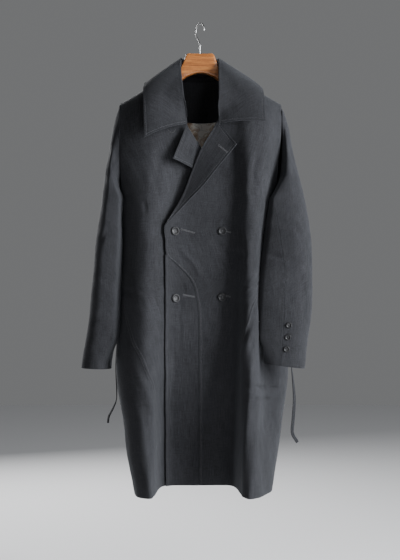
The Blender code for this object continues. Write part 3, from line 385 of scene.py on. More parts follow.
# %% Creases in metres: face, depth inwards, width, then points from end to end
CREASES = (
    ("front", 0.0026, 0.0056, (0.113, -0.924), (0.150, -0.938), (0.190, -0.946), (0.219, -0.950)),
    ("front", 0.0026, 0.0052, (0.108, -0.956), (0.140, -0.966), (0.180, -0.974), (0.214, -0.983)),
    ("front", 0.0018, 0.0060, (0.106, -0.918), (0.120, -0.934), (0.132, -0.948)),
    ("front", 0.0014, 0.0080, (-0.175, -0.935), (-0.140, -0.944), (-0.100, -0.941)),
    ("front", 0.0012, 0.0055, (-0.066, -0.846), (-0.064, -0.880), (-0.068, -0.948)),
    ("front", 0.0012, 0.0060, (-0.052, -0.720), (-0.049, -0.790), (-0.053, -0.850)),
    ("front", -0.0022, 0.0090, (-0.060, -0.585), (-0.034, -0.606), (-0.012, -0.632), (0.002, -0.664)),
    ("front", 0.0034, 0.0120, (-0.186, -0.655), (-0.180, -0.690), (-0.168, -0.735)),
    ("front", 0.0016, 0.0060, (-0.140, -0.470), (-0.137, -0.508)),
    ("front", 0.0028, 0.0090, (-0.208, -0.330), (-0.222, -0.372), (-0.231, -0.408)),
    ("front", 0.0024, 0.0080, (-0.232, -0.318), (-0.236, -0.360), (-0.233, -0.410)),
    ("front", 0.0026, 0.0080, (-0.246, -0.400), (-0.238, -0.440), (-0.243, -0.480)),
    ("front", 0.0030, 0.0090, (-0.226, -0.520), (-0.246, -0.560), (-0.262, -0.575)),
    ("front", 0.0024, 0.0100, (-0.268, -0.640), (-0.250, -0.668), (-0.230, -0.680)),
    ("front", 0.0024, 0.0080, (-0.240, -0.745), (-0.262, -0.770), (-0.286, -0.776)),
    ("front", 0.0030, 0.0080, (0.215, -0.262), (0.212, -0.325), (0.204, -0.420)),
    ("front", 0.0026, 0.0090, (0.232, -0.300), (0.240, -0.370), (0.244, -0.450)),
    ("front", 0.0028, 0.0100, (0.196, -0.500), (0.226, -0.530), (0.262, -0.545)),
    ("front", 0.0026, 0.0090, (0.190, -0.600), (0.226, -0.620), (0.272, -0.622)),
    ("front", 0.0020, 0.0090, (0.255, -0.660), (0.268, -0.720), (0.262, -0.780)),
    ("front", 0.0030, 0.0140, (0.066, -0.300), (0.090, -0.360), (0.108, -0.430)),
    ("front", 0.0026, 0.0120, (0.150, -0.330), (0.135, -0.400), (0.140, -0.480)),
    ("front", 0.0030, 0.0140, (-0.100, -0.330), (-0.112, -0.400), (-0.104, -0.480)),
    ("front", 0.0024, 0.0110, (0.030, -0.560), (0.070, -0.600), (0.120, -0.610)),
    ("front", 0.0026, 0.0160, (0.140, -0.700), (0.128, -0.800), (0.134, -0.900)),
    ("front", 0.0028, 0.0160, (-0.120, -0.640), (-0.112, -0.760), (-0.122, -0.880)),
    ("front", 0.0026, 0.0150, (-0.140, -0.960), (-0.128, -1.050), (-0.134, -1.150)),
    ("front", 0.0024, 0.0150, (0.170, -1.010), (0.160, -1.090), (0.164, -1.180)),
    ("back", 0.0024, 0.0080, (-0.190, -0.948), (-0.080, -0.940), (0.060, -0.950), (0.180, -0.944)),
    ("back", 0.0018, 0.0070, (-0.100, -0.985), (0.010, -0.978), (0.120, -0.990)),
    ("back", 0.0030, 0.0150, (-0.060, -0.280), (-0.085, -0.380), (-0.070, -0.500)),
    ("back", 0.0030, 0.0150, (0.070, -0.290), (0.090, -0.400), (0.078, -0.520)),
    ("back", 0.0030, 0.0180, (-0.120, -0.520), (-0.105, -0.680), (-0.118, -0.860)),
    ("back", 0.0030, 0.0180, (0.125, -0.540), (0.104, -0.700), (0.112, -0.880)),
    ("back", 0.0026, 0.0200, (0.010, -0.600), (0.000, -0.780), (0.012, -0.930)),
    ("back", 0.0026, 0.0180, (-0.070, -1.010), (-0.060, -1.100), (-0.070, -1.200)),
    ("back", 0.0026, 0.0180, (0.080, -1.010), (0.094, -1.100), (0.084, -1.200)),
    ("back", 0.0026, 0.0090, (-0.225, -0.540), (-0.250, -0.560), (-0.266, -0.556)),
    ("back", 0.0026, 0.0090, (0.200, -0.560), (0.236, -0.580), (0.262, -0.574)),
)


def wander(points, pace, seed):
    """Slow noise between -1 and 1 from a few waves that never quite repeat."""
    x, y, z = (points[..., k] for k in range(3))
    around = x + 0.6 * y
    return (np.sin(pace * around + 0.31 * pace * z + seed)
            + np.sin(1.7 * pace * z - 0.8 * pace * around + 2.1 * seed)
            + np.sin(2.9 * pace * around + 1.3 * pace * z + 3.7 * seed)) / 3


def crease_depth(points, out, depth, width, line):
    """How far one crease presses each point in."""
    flat = points[..., [0, 2]]
    nearest = np.full(flat.shape[:-1], 9.0)
    share = np.zeros_like(nearest)
    for k, (start, end) in enumerate(zip(line, line[1:])):
        start, run = np.array(start), np.subtract(end, start)
        along = np.clip(((flat - start) @ run) / (run @ run), 0, 1)
        away = np.linalg.norm(flat - start - along[..., None] * run, axis=-1)
        closer = away < nearest
        nearest, share = np.where(closer, away, nearest), np.where(closer, k + along, share)
    fade = np.clip(np.sin(np.pi * share / (len(line) - 1)) * 1.6, 0, 1)
    uneven = 0.75 + 0.35 * wander(points, 60, depth * 900 + line[0][0] * 40)
    spread = width * (0.85 + 0.3 * wander(points, 35, line[0][1] * 20))
    trough = np.exp(-(nearest / spread) ** 2) - 0.35 * np.exp(-((nearest - 1.9 * spread) / spread) ** 2)
    return depth * fade * uneven * trough


def pressed(points, out):
    """Points moved along their directions by the unevenness and the creases, and the shade painted into
    the sharp creases.
    """
    calm = np.clip((-0.17 - points[..., 2]) / 0.10, 0, 1)          # the wood holds the shoulders
    low = np.clip((-0.45 - points[..., 2]) / 0.5, 0, 1)
    moved = -(0.0011 + 0.0006 * low) * (1 + wander(points, 24, 1.0))
    moved -= 0.00045 * (1 + wander(points, 85, 4.0))
    crease_shade = np.zeros(points.shape[:-1])
    for face, depth, width, *line in CREASES:
        facing = np.clip(out[..., 1] * (-1 if face == "front" else 1) * 2.2 + 0.4, 0, 1)
        pressing = facing * crease_depth(points, out, depth, width, line)
        moved -= pressing
        if width < 0.0072:              # painted shade: only sharp, long kept creases darken the cloth's colour
            crease_shade += np.clip(pressing / 0.0024, -1, 1) ** 3
    return points + out * (moved * calm)[..., None], np.clip(crease_shade, -1, 1)


def lean_on(body, points, out, toward, space=0.0025, most=0.024):
    """A sleeve's inner side sags against the body: each point moves towards it, by its facing."""
    moved = points.copy()
    height = np.clip((-0.40 - points[..., 2]) / 0.06, 0, 1) * np.clip((points[..., 2] + 0.88) / 0.06, 0, 1)
    facing = np.clip(out[..., 0] * toward * 1.6, 0, 1)
    for index in np.argwhere((facing > 0) & (height > 0)):
        row = tuple(index)
        gaps = [tree.ray_cast(Vector(points[row]), Vector((toward, 0, 0)))[3] for tree in body]
        gaps = [gap for gap in gaps if gap is not None]
        if gaps:
            free = min(max(min(gaps) - space, 0), most)
            moved[row][0] += toward * free * facing[row] * height[row]
    return moved


print(len(CREASES), "creases, the deepest", max(c[1] for c in CREASES) * 1000, "mm")

# %% [markdown]
# ## Sewing the panels
#
# Every panel becomes one piece: its fine points, a map in metres for the weave, a solid thickness
# and softly rounded edges, because cut edges are turned in and pressed, never sharp. Each one
# replaces its CAD wall.


# %% From a grid of points to a piece
def grid_mesh(name, points, out):
    """A mesh of quads through the points, facing out, with its map in metres."""
    rows, columns = points.shape[:2]
    bm = bmesh.new()
    bmesh.ops.create_grid(bm, x_segments=columns - 1, y_segments=rows - 1, size=1)
    for vert, place in zip(bm.verts, points.reshape(-1, 3)):
        vert.co = place
    bm.normal_update()
    facing = sum(vert.normal.dot(Vector(way)) for vert, way in
                 zip(bm.verts, out.reshape(-1, 3)))
    if facing < 0:
        bmesh.ops.reverse_faces(bm, faces=bm.faces[:])
    across = np.linalg.norm(np.diff(points, axis=1), axis=-1).cumsum(axis=1)
    across = np.concatenate([np.zeros((rows, 1)), across], axis=1)
    across -= across[:, columns // 2:columns // 2 + 1]
    down = np.linalg.norm(np.diff(points, axis=0), axis=-1).mean(axis=1).cumsum()
    down = np.concatenate([[0], down])
    layer = bm.loops.layers.uv.new("cloth")
    for face in bm.faces:
        face.smooth = True
        for loop in face.loops:
            row, column = divmod(loop.vert.index, columns)
            loop[layer].uv = (across[row, column], down[row])
    mesh = bpy.data.meshes.new(name)
    bm.to_mesh(mesh)
    bm.free()
    return mesh


def show(name, mesh, material):
    """Link a piece to the scene and let it ride on the coat's one body."""
    piece = bpy.data.objects.new(name, mesh)
    mesh.materials.append(material)
    bpy.context.scene.collection.objects.link(piece)
    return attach(piece, "root")


def solid_cloth(piece, thickness, round_by):
    """Give a piece its thickness inwards and roll its edges."""
    wall = piece.modifiers.new("thickness", "SOLIDIFY")
    wall.thickness = thickness
    wall.offset = -1
    roll = piece.modifiers.new("rolled_edges", "BEVEL")
    roll.width = round_by
    roll.segments = 2
    roll.limit_method = "ANGLE"
    roll.angle_limit = math.radians(55)
    roll.harden_normals = False


# %% [markdown]
# ## The two loose ties
#
# A narrow strip of the same cloth hangs from each side of the back. It is a flat tube, turned
# through a slot and pressed. Each is drawn through the points of its CAD strip, from where it is
# sewn on to its cut end, and given the tie's thickness.

# %% Ties
for name in ("tie_right", "tie_left"):
    points, out = GRIDS[name]
    fine, away = finer_grid(points, 5), unit(finer_grid(out, 5))
    piece = show(f"cloth_{name}", grid_mesh(name, fine, away), CHARCOAL)
    solid_cloth(piece, TIE_THICK, 0.0007)
    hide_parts(name)
    middle = (fine - away * TIE_THICK / 2)[:, fine.shape[1] // 2]

# %% [markdown]
# ## Body panels and sleeves
#
# The fronts, sides, back and two-piece sleeves hang from the shoulders, which rest on the wood.

# %% Body panels and sleeves
TIMES = {"front_left": 7, "overlap_left": 7, "side_left": 6, "front_right": 7, "side_right": 6,
         "back": 6, "sleeve_right_top": 8, "sleeve_right_under": 8, "sleeve_left_top": 8,
         "sleeve_left_under": 8}
# The side seams turn a sharp corner, so the marks fade out before the edges that meet there.
CORNER_EDGES = {"back": ("first", "last"), "side_left": ("last",), "side_right": ("first",)}
CORNER_FADE = 0.030
FINE = {}
for name, times in TIMES.items():
    points, out = GRIDS[name]
    smooth, away = finer_grid(points, times), unit(finer_grid(out, times))
    fine, crease_shade = pressed(smooth, away)
    for edge in CORNER_EDGES.get(name, ()):
        line = smooth if edge == "first" else smooth[:, ::-1]
        run = np.linalg.norm(np.diff(line, axis=1), axis=-1).cumsum(axis=1)
        run = np.concatenate([np.zeros((len(run), 1)), run], axis=1)
        run = run if edge == "first" else run[:, ::-1]
        kept = np.clip(run / CORNER_FADE, 0, 1)[..., None]
        fine = smooth + (fine - smooth) * kept
    if name.startswith("sleeve"):
        side = name.split("_")[1]
        body = [BVHTree.FromObject(bpy.data.objects[f"cloth_{part}"], graph) for part in
                (f"front_{side}", f"side_{side}", "back")]
        fine = lean_on(body, fine, away, 1 if side == "right" else -1)
    FINE[name] = fine, away
    piece = show(f"cloth_{name}", grid_mesh(name, fine, away), CHARCOAL)
    # The shade painted into the creases rides on the piece as a point attribute.
    layer = piece.data.attributes.new("crease_shade", "FLOAT", "POINT")
    layer.data.foreach_set("value", crease_shade.ravel().astype(np.float32))
    solid_cloth(piece, CLOTH, 0.0009)
    graph = bpy.context.evaluated_depsgraph_get()
    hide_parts(name)

# %% [markdown]
# ## Collar and lapels
#
# The collar is two layers of cloth. At the neck it turns over a fold, so its leaf is carried on
# over that fold by a few rows that curl down inside, where the stand takes over. The lapels are
# the fronts turned back on themselves, and both ends of a leaf and both lapels curl a little at
# their edges, since the upper layer is cut a shade larger than the under one.

# %% Collar leaf, stand, lapels
ROLL_ROWS = ((0.0028, -0.0052), (0.0027, -0.0025), (0.0019, -0.0006), (0.0008, 0.0001))


def leaf_with_roll(points, out):
    """The leaf's fine points with the rows that turn over the fold into the neck."""
    if points[0, :, 2].mean() < points[-1, :, 2].mean():
        points, out = points[::-1], out[::-1]
    fold = points[0]
    outward = unit(np.stack([fold[:, 0], np.maximum(fold[:, 1], 0), 0 * fold[:, 0]], axis=-1))
    rows = [fold - outward * inside + np.array([0, 0, fall]) for inside, fall in ROLL_ROWS]
    ways = [unit(-outward * (1 - k / 3) + np.array([0, 0, k / 2.2])) for k in range(4)]
    return np.concatenate([rows, points]), np.concatenate([ways, out])


def stand_off(name, points, out):
    """Edges that stand off the chest: the leaf's front part and the upper lapel's outer edge."""
    rows, columns = points.shape[:2]
    down = np.linspace(0, 1, rows)[:, None]
    if name == "collar_leaf":
        if points[0, :, 2].mean() < points[-1, :, 2].mean():
            down = 1 - down
        front = np.clip((0.03 - points[..., 1]) / 0.08, 0, 1)
        flat = np.clip(1 - np.abs(points[..., 1]) / 0.06, 0, 1)
        lift = 0.0085 * front * down ** 2 - 0.0060 * flat * 4 * down * (1 - down)
        return points + out * lift[..., None]
    across = np.linspace(0, 1, columns)[None, :] * np.ones((rows, 1))
    if name == "lapel_left":
        proud = 0.013 * across ** 1.4 * np.clip(np.sin(np.pi * np.clip(1 - down, 0.02, 0.6) / 1.2), 0, 1)
        return points + np.array([0, -1, 0]) * proud[..., None]
    return points + np.array([0, -1, 0]) * (0.006 * (1 - across) * down)[..., None]


def turned_edge(points, out, depth):
    """Press a narrow strip inside every edge down a little, as topstitching does."""
    rows, columns = points.shape[:2]
    inset = np.full((rows, columns), 9.0)
    for axis, line in ((0, points), (0, points[::-1]), (1, points), (1, points[:, ::-1])):
        steps = np.linalg.norm(np.diff(line, axis=axis), axis=-1).cumsum(axis=axis)
        shape = (1, columns) if axis == 0 else (rows, 1)
        steps = np.concatenate([np.zeros(shape), steps], axis=axis)
        if line is not points and np.shares_memory(line, points):
            steps = steps[::-1] if axis == 0 else steps[:, ::-1]
        inset = np.minimum(inset, steps)
    dip = np.exp(-((inset - 0.006) / 0.0022) ** 2) + 0.5 * np.clip(1 - inset / 0.003, 0, 1)
    return points - out * (depth * dip)[..., None]


UPPER = {"collar_leaf": (9, 0.0018), "lapel_left": (12, DOUBLE), "lapel_right": (12, DOUBLE),
         "collar_stand": (8, CLOTH)}
for name, (times, thickness) in UPPER.items():
    points, out = GRIDS[name]
    fine, away = finer_grid(points, times), unit(finer_grid(out, times))
    if name != "collar_stand":
        fine = turned_edge(stand_off(name, fine, away), away, 0.0005)
    FINE[name] = fine, away
    if name == "collar_leaf":
        fine, away = leaf_with_roll(fine, away)
    piece = show(f"cloth_{name}", grid_mesh(name, fine, away), CHARCOAL)
    solid_cloth(piece, thickness, 0.0006)
    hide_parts(name)

# %% [markdown]
# ## Inside the neck
#
# A facing of the coat's own cloth lines the back of the neck, and the printed lining hangs below
# it. The print here is a marbled ground of off-white and brown with darker veins, drawn by noise
# that is bent by more noise, so it is nobody's pattern.


# %% Lining print and the two inner pieces
def print_material(name):
    material, tree, shader = new_material(name, Roughness=0.48, Specular_IOR_Level=0.35,
                                          Sheen_Weight=0.15)
    uv = add_node(tree, "ShaderNodeUVMap", uv_map="cloth").outputs["UV"]
    bend = add_node(tree, "ShaderNodeTexNoise", [("Vector", uv)],
                    [("Scale", 16.0), ("Detail", 3.0)])
    bent = mix(tree, 0.10, uv, bend.outputs["Color"])
    blots = add_node(tree, "ShaderNodeTexNoise", [("Vector", bent)],
                     [("Scale", 28.0), ("Detail", 5.0), ("Roughness", 0.6)])
    veins = add_node(tree, "ShaderNodeTexVoronoi", [("Vector", bent)], [("Scale", 46.0)],
                     feature="DISTANCE_TO_EDGE")
    ground = ramp(tree, blots.outputs["Fac"], (0.44, (0.86, 0.83, 0.78)), (0.52, (0.55, 0.42, 0.30)),
                  (0.62, (0.20, 0.11, 0.06)))
    line = ramp(tree, veins.outputs["Distance"], (0.01, 1.0), (0.06, 0.0))
    colour = mix(tree, maths(tree, "MULTIPLY", line, 0.35), ground, (0.10, 0.07, 0.055))
    tree.links.new(colour, shader.inputs["Base Color"])
    twill = add_node(tree, "ShaderNodeTexWave", [("Vector", uv)], [("Scale", 900.0)],
                     bands_direction="DIAGONAL")
    bump = add_node(tree, "ShaderNodeBump", [("Height", twill.outputs["Fac"])],
                    [("Strength", 0.15), ("Distance", 0.0001)])
    tree.links.new(bump.outputs[0], shader.inputs["Normal"])
    return material


LINING = print_material("printed_lining")
for name, material, own_slot in (("back_facing", CHARCOAL, "charcoal_cloth"),
                                 ("lining", LINING, "printed_lining")):
    points, out = GRIDS[name]
    fine, away = finer_grid(points, 8), unit(finer_grid(out, 8))
    fine = pressed(fine, -away)[0]       # it moves with the back that it is sewn to
    piece = show(f"cloth_{name}", grid_mesh(name, fine, away), material)
    solid_cloth(piece, THIN * 0.8, 0.0003)
    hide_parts(name)

# %% [markdown]
# ## Stitches
#
# A stitch is a short thread pulled down at both ends, a little thicker in its middle. Rows of them
# run 6 mm inside the edges of the collar, the lapels and the front, and beside the curved seams.
# Their places are found on the fine panels themselves: along an edge, every line that crosses the
# edge is followed inwards for 6 mm of cloth.


# %% Stitch helpers
STITCH, PITCH, THREAD_R = 0.0029, 0.0036, 0.00034


def thread_material(name, colour):
    material, tree, shader = new_material(name, Roughness=0.55, Specular_IOR_Level=0.35,
                                          Sheen_Weight=0.2)
    place = add_node(tree, "ShaderNodeTexCoord").outputs["Object"]
    ply = add_node(tree, "ShaderNodeTexNoise", [("Vector", place)],
                   [("Scale", 1400.0), ("Detail", 2.0)])
    tone = ramp(tree, ply.outputs["Fac"], (0.35, tuple(0.7 * c for c in colour)), (0.65, colour))
    tree.links.new(tone, shader.inputs["Base Color"])
    return material


DARK_THREAD = thread_material("dark_thread", (0.046, 0.046, 0.052))
# Painted shade: a near-black thread, darker than the cloth, for the dart line and the loop under the right
# leaf, standing in for the shade that they lie in.
SHADE_THREAD = thread_material("shade_thread", (0.004, 0.004, 0.005))
PALE_THREAD = thread_material("pale_thread", (0.066, 0.065, 0.069))


def along_edge(points, out, side, inset):
    """Line a set way inside one edge of a panel, with the directions out of the cloth."""
    turn = {"left": (points, out), "right": (points[:, ::-1], out[:, ::-1]),
            "top": (points.swapaxes(0, 1), out.swapaxes(0, 1)),
            "bottom": (points[::-1].swapaxes(0, 1), out[::-1].swapaxes(0, 1))}
    lines, ways = turn[side]
    spots, facing = [], []
    for line, way in zip(lines, ways):
        run = np.concatenate([[0], np.linalg.norm(np.diff(line, axis=0), axis=-1).cumsum()])
        spots.append([np.interp(inset, run, line[:, k]) for k in range(3)])
        facing.append([np.interp(inset, run, way[:, k]) for k in range(3)])
    return np.array(spots), unit(np.array(facing))


def spaced(spots, facing, pitch):
    """Places at even steps along a line: points, directions out, and directions along."""
    run = np.concatenate([[0], np.linalg.norm(np.diff(spots, axis=0), axis=-1).cumsum()])
    at = np.arange(pitch, run[-1] - pitch, pitch)
    places = np.stack([np.interp(at, run, spots[:, k]) for k in range(3)], axis=-1)
    ways = unit(np.stack([np.interp(at, run, facing[:, k]) for k in range(3)], axis=-1))
    ahead = unit(np.gradient(places, axis=0)) if len(places) > 1 else places * 0
    return places, ways, ahead


def stitches(name, rows, material, length=STITCH, radius=THREAD_R, lift=0.0):
    """One piece of many stitches: each a six-sided spindle laid along its row."""
    bm = bmesh.new()
    shape = ((-0.5, 0.30), (-0.25, 0.9), (0.25, 0.9), (0.5, 0.30))
    for places, ways, ahead in rows:
        for spot, way, run in zip(places, ways, ahead):
            side = np.cross(way, run)
            rings = []
            for at, thick in shape:
                centre = spot + run * at * length + way * (lift + radius * (0.35 * thick + 0.1))
                rings.append([bm.verts.new(centre + (side * math.cos(a) + way * math.sin(a))
                                           * radius * thick)
                              for a in np.arange(6) * math.tau / 6])
            for one, two in zip(rings, rings[1:]):
                for k in range(6):
                    bm.faces.new((one[k], one[k - 1], two[k - 1], two[k]))
            bm.faces.new(rings[0])
            bm.faces.new(rings[-1][::-1])
    bmesh.ops.recalc_face_normals(bm, faces=bm.faces[:])
    for face in bm.faces:
        face.smooth = True
    mesh = bpy.data.meshes.new(name)
    bm.to_mesh(mesh)
    bm.free()
    return show(name, mesh, material)


# Panel, its edge, how far inside it, and the heights between which the row runs.
TOPSTITCH = (
    ("collar_leaf", "bottom", 0.006, 0.0, -1.0), ("collar_leaf", "left", 0.006, 0.0, -1.0),
    ("collar_leaf", "right", 0.006, 0.0, -1.0),
    ("lapel_left", "right", 0.006, 0.0, -1.0), ("lapel_left", "top", 0.006, 0.0, -1.0),
    ("lapel_right", "left", 0.006, 0.0, -1.0), ("lapel_right", "bottom", 0.006, 0.0, -1.0),
    ("front_left", "left", 0.006, -0.530, -1.22), ("front_left", "left", 0.0085, -0.606, -1.22),
    ("overlap_left", "left", 0.006, -0.60, -1.22),
    ("side_left", "left", 0.004, -0.60, -1.22), ("side_right", "right", 0.004, -0.69, -1.22),
    ("front_left", "right", 0.004, -0.60, -1.22), ("front_right", "left", 0.004, -0.69, -1.22),
    ("front_right", "right", 0.006, -0.53, -1.22),
)
rows = []
for name, side, inset, top, bottom in TOPSTITCH:
    spots, facing = along_edge(*FINE[name], side, inset)
    kept = (spots[:, 2] < top) & (spots[:, 2] > bottom + 0.004)
    if kept.sum() > 3:
        rows.append(spaced(spots[kept], facing[kept], PITCH))
stitches("topstitching", rows, DARK_THREAD)
print("topstitching:", sum(len(row[0]) for row in rows), "stitches in", len(rows), "rows")

# %% [markdown]
# ## Buttons
#
# Each button is turned from horn-like plastic: a thick rounded rim and a dished middle with four
# holes, sewn on with thread through the holes. The CAD button says where it sits: the direction in
# which its points spread least is the way it faces.

# %% Buttons
HORN, horn_tree, horn_shader = new_material("dark_horn", Roughness=0.45, Specular_IOR_Level=0.26,
                                            Coat_Weight=0.06, Coat_Roughness=0.25)
horn_place = add_node(horn_tree, "ShaderNodeTexCoord").outputs["Object"]
horn_cloud = add_node(horn_tree, "ShaderNodeTexNoise", [("Vector", horn_place)],
                      [("Scale", 160.0), ("Detail", 4.0), ("Distortion", 1.4)])
horn_colour = ramp(horn_tree, horn_cloud.outputs["Fac"], (0.35, (0.005, 0.005, 0.006)),
                   (0.55, (0.011, 0.011, 0.012)), (0.70, (0.030, 0.029, 0.029)))
horn_tree.links.new(horn_colour, horn_shader.inputs["Base Color"])

BUTTON_PROFILE = ((0, 0.52), (0.30, 0.53), (0.52, 0.57), (0.60, 0.66), (0.66, 0.84), (0.74, 0.97),
                  (0.83, 1.0), (0.92, 0.93), (0.98, 0.76), (1.0, 0.58), (0.97, 0.42), (0.86, 0.31),
                  (0.50, 0.27), (0, 0.27))
HOLE_AT, HOLE_R = 0.19, 0.075


def button_mesh(name, radius):
    """A turned button with four holes through its dished middle."""
    bm = bmesh.new()
    verts = [bm.verts.new((out_by * radius, 0, high * radius * 0.40))
             for out_by, high in BUTTON_PROFILE]
    edges = [bm.edges.new(pair) for pair in zip(verts, verts[1:])]
    bmesh.ops.spin(bm, geom=verts + edges, cent=(0, 0, 0), axis=(0, 0, 1), dvec=(0, 0, 0),
                   angle=math.tau, steps=48, use_merge=True, use_normal_flip=False,
                   use_duplicate=False)
    bmesh.ops.remove_doubles(bm, verts=bm.verts[:], dist=1e-6)
    bmesh.ops.recalc_face_normals(bm, faces=bm.faces[:])
    turned_part = bpy.data.meshes.new(name)
    bm.to_mesh(turned_part)
    bm.free()
    drill = bmesh.new()
    for a in range(4):
        at = (HOLE_AT * radius * math.cos(math.tau * (a + 0.5) / 4),
              HOLE_AT * radius * math.sin(math.tau * (a + 0.5) / 4), radius * 0.2)
        bmesh.ops.create_cone(drill, cap_ends=True, segments=16, radius1=HOLE_R * radius,
                              radius2=HOLE_R * radius, depth=radius,
                              matrix=Matrix.Translation(at))
    drills = bpy.data.meshes.new(name + "_drills")
    drill.to_mesh(drills)
    drill.free()
    blank = bpy.data.objects.new(name, turned_part)
    tool = bpy.data.objects.new(name + "_drills", drills)
    for part in (blank, tool):
        bpy.context.scene.collection.objects.link(part)
    cut = blank.modifiers.new("holes", "BOOLEAN")
    cut.operation, cut.object, cut.solver = "DIFFERENCE", tool, "EXACT"
    bpy.context.view_layer.update()
    made = bpy.data.meshes.new_from_object(blank.evaluated_get(bpy.context.evaluated_depsgraph_get()))
    for part in (blank, tool):
        bpy.data.objects.remove(part, do_unlink=True)
    made.shade_smooth()
    made.set_sharp_from_angle(angle=math.radians(38))
    return made


def seat_of(node):
    """Middle, facing and radius of a CAD button."""
    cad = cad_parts[node]
    points = np.array([tuple(cad.matrix_world @ vert.co) for vert in cad.data.vertices])
    points = np.unique(points.round(6), axis=0)
    middle = (points.min(axis=0) + points.max(axis=0)) / 2
    values, ways = np.linalg.eigh(np.cov((points - points.mean(axis=0)).T))
    facing = ways[:, 0]
    outward = np.array([0, -1, 0])
    if node.startswith("cuff"):
        sleeve = np.mean(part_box(f"sleeve_{node.split('_')[2]}_top"), axis=0)
        outward = (middle - sleeve) * np.array([1, 1, 0])
    if facing @ outward < 0:
        facing = -facing
    reach = np.linalg.norm((points - points.mean(axis=0))
                           - np.outer((points - points.mean(axis=0)) @ facing, facing), axis=1).max()
    base = ((points - points.mean(axis=0)) @ facing).min()
    return points.mean(axis=0) + facing * base, facing, reach


bpy.context.view_layer.update()
UNDER = {name: BVHTree.FromObject(bpy.data.objects[f"cloth_{name}"],
                                  bpy.context.evaluated_depsgraph_get())
         for name in (*TIMES, "lapel_left")}
BUTTON_MESHES = {}
for node in sorted(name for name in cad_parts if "button" in name):
    base, facing, radius = seat_of(node)
    kind = "front" if node.startswith("front") else "cuff"
    # The cloth has been pressed since, so the button is seated anew where it is nearest.
    carriers = (("front_left", "overlap_left") if kind == "front" else
                tuple(f"sleeve_{node.split('_')[2]}_{part}" for part in ("top", "under")))
    place, way = min((UNDER[name].find_nearest(Vector(base)) for name in carriers),
                     key=lambda hit: hit[3])[:2]
    if way.dot(Vector(facing)) > 0.5:
        base, facing = np.array(place), np.array(way)
    if kind not in BUTTON_MESHES:
        BUTTON_MESHES[kind] = button_mesh(kind + "_button", radius)
    mesh = BUTTON_MESHES[kind].copy()
    turn = Vector(facing).to_track_quat("Z", "Y").to_matrix().to_4x4()
    mesh.transform(Matrix.Translation(Vector(base)) @ turn)
    mesh.materials.clear()
    piece = show(f"horn_{node}", mesh, HORN)
    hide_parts(node)
    # Two threads through the four holes.
    side, up = (np.array(turn.to_3x3() @ Vector(axis)) for axis in ((1, 0, 0), (0, 1, 0)))
    spots = [base + up * radius * (0.7071 * HOLE_AT * row + 0.03 * strand) + facing * radius * 0.225
             for row in (-1, 1) for strand in (-1, 1)]
    stitches(f"thread_{node}", [(np.array(spots), np.array([facing] * 4), np.array([side] * 4))],
             DARK_THREAD, length=HOLE_AT * radius * 1.75, radius=radius * 0.030)
    print(node, "radius", round(radius * 1000, 1), "mm")

# %% [markdown]
# ## Buttonholes
#
# Each front button passes a keyhole buttonhole: a slit with a round eye at its outer end, worked
# all round with tight stitches that stand at right angles to it. The lapel has one as well. The
# button sits over the eye, so most of what shows is the slit running away from the front edge.

# %% Buttonholes

def on_front(x, z, names):
    """Foremost point of the named panels at x and z, with the direction out of them."""
    hits = [UNDER[name].ray_cast(Vector((x, -1, z)), Vector((0, 1, 0))) for name in names]
    hits = [hit for hit in hits if hit[0] is not None]
    if not hits:
        return None
    place, way = min(hits, key=lambda hit: hit[3])[:2]
    return np.array(place), np.array(way if way.y < 0 else -way)


def keyhole(start, end, names, wide=0.0011, pitch=0.00075):
    """Rows of stitches round a keyhole slit, and the slit's own dark line."""
    start, end = np.array(start), np.array(end)
    run = (end - start) / np.linalg.norm(end - start)
    side = np.array([-run[1], run[0]])
    length = np.linalg.norm(end - start)
    outline = []
    for at in np.arange(0.003, length, pitch):
        outline += [(start + run * at + side * wide * k, side * k) for k in (1, -1)]
    for turn in np.arange(60, 301, 24):
        a = math.radians(turn)
        way = run * math.cos(a) + side * math.sin(a)
        outline.append((start + run * 0.001 + way * 0.0021, way))
    for k in (-1, 0, 1):
        outline.append((end + side * k * 0.0007, run))
    found = []
    for (x, z), (dx, dz) in outline:
        hit = on_front(x, z, names)
        if hit is not None:
            place, way = hit
            ahead = np.array([dx, 0, dz])
            ahead = ahead - way * (ahead @ way)
            found.append((place, way, ahead / np.linalg.norm(ahead)))
    return tuple(np.array(part) for part in zip(*found))


HOLES = [((-0.048, -0.5385), (-0.014, -0.548)), ((0.046, -0.538), (0.079, -0.547)),
         ((-0.042, -0.707), (-0.014, -0.712)), ((0.046, -0.706), (0.078, -0.712))]
worked = [keyhole(start, end, ("front_left", "overlap_left")) for start, end in HOLES]
worked.append(keyhole((0.0480, -0.3260), (0.0690, -0.3440), ("lapel_left",)))
stitches("buttonholes", worked, PALE_THREAD, length=0.0019, radius=0.00030)
print("buttonholes:", [len(row[0]) for row in worked], "stitches each")

# %% [markdown]
# Three small marks finish the front: a pale bar tack that holds a pocket corner on the wearer's
# left, the closed line of a dart on the right front, and a thread loop under the right leaf that
# takes a hidden button.

# %% Bar tack, dart and loop
def small_line(spots, names, pitch):
    found = [on_front(x, z, names) for x, z in spots]
    places = np.array([hit[0] for hit in found if hit is not None])
    ways = np.array([hit[1] for hit in found if hit is not None])
    return spaced(places, ways, pitch)


tack = small_line([(0.1490, -0.7750), (0.1535, -0.7738)], ("front_left", "side_left"), 0.0011)
stitches("bar_tack", [tack], thread_material("white_thread", (0.55, 0.55, 0.54)), length=0.0016)
dart = small_line([(-0.1385 + 0.0000875 * k, -0.467 - k * 0.001) for k in range(40)],
                  ("front_right",), 0.0024)
stitches("dart_line", [dart], SHADE_THREAD, length=0.0030)
loop = small_line([(-0.083 + 0.022 * k / 12, -0.284 - 0.010 * math.sin(math.pi * k / 12))
                   for k in range(13)], ("front_right",), 0.0018)
stitches("thread_loop", [loop], SHADE_THREAD, length=0.0026, radius=0.0006)
print("marks:", len(tack[0]), len(dart[0]), len(loop[0]), "stitches")

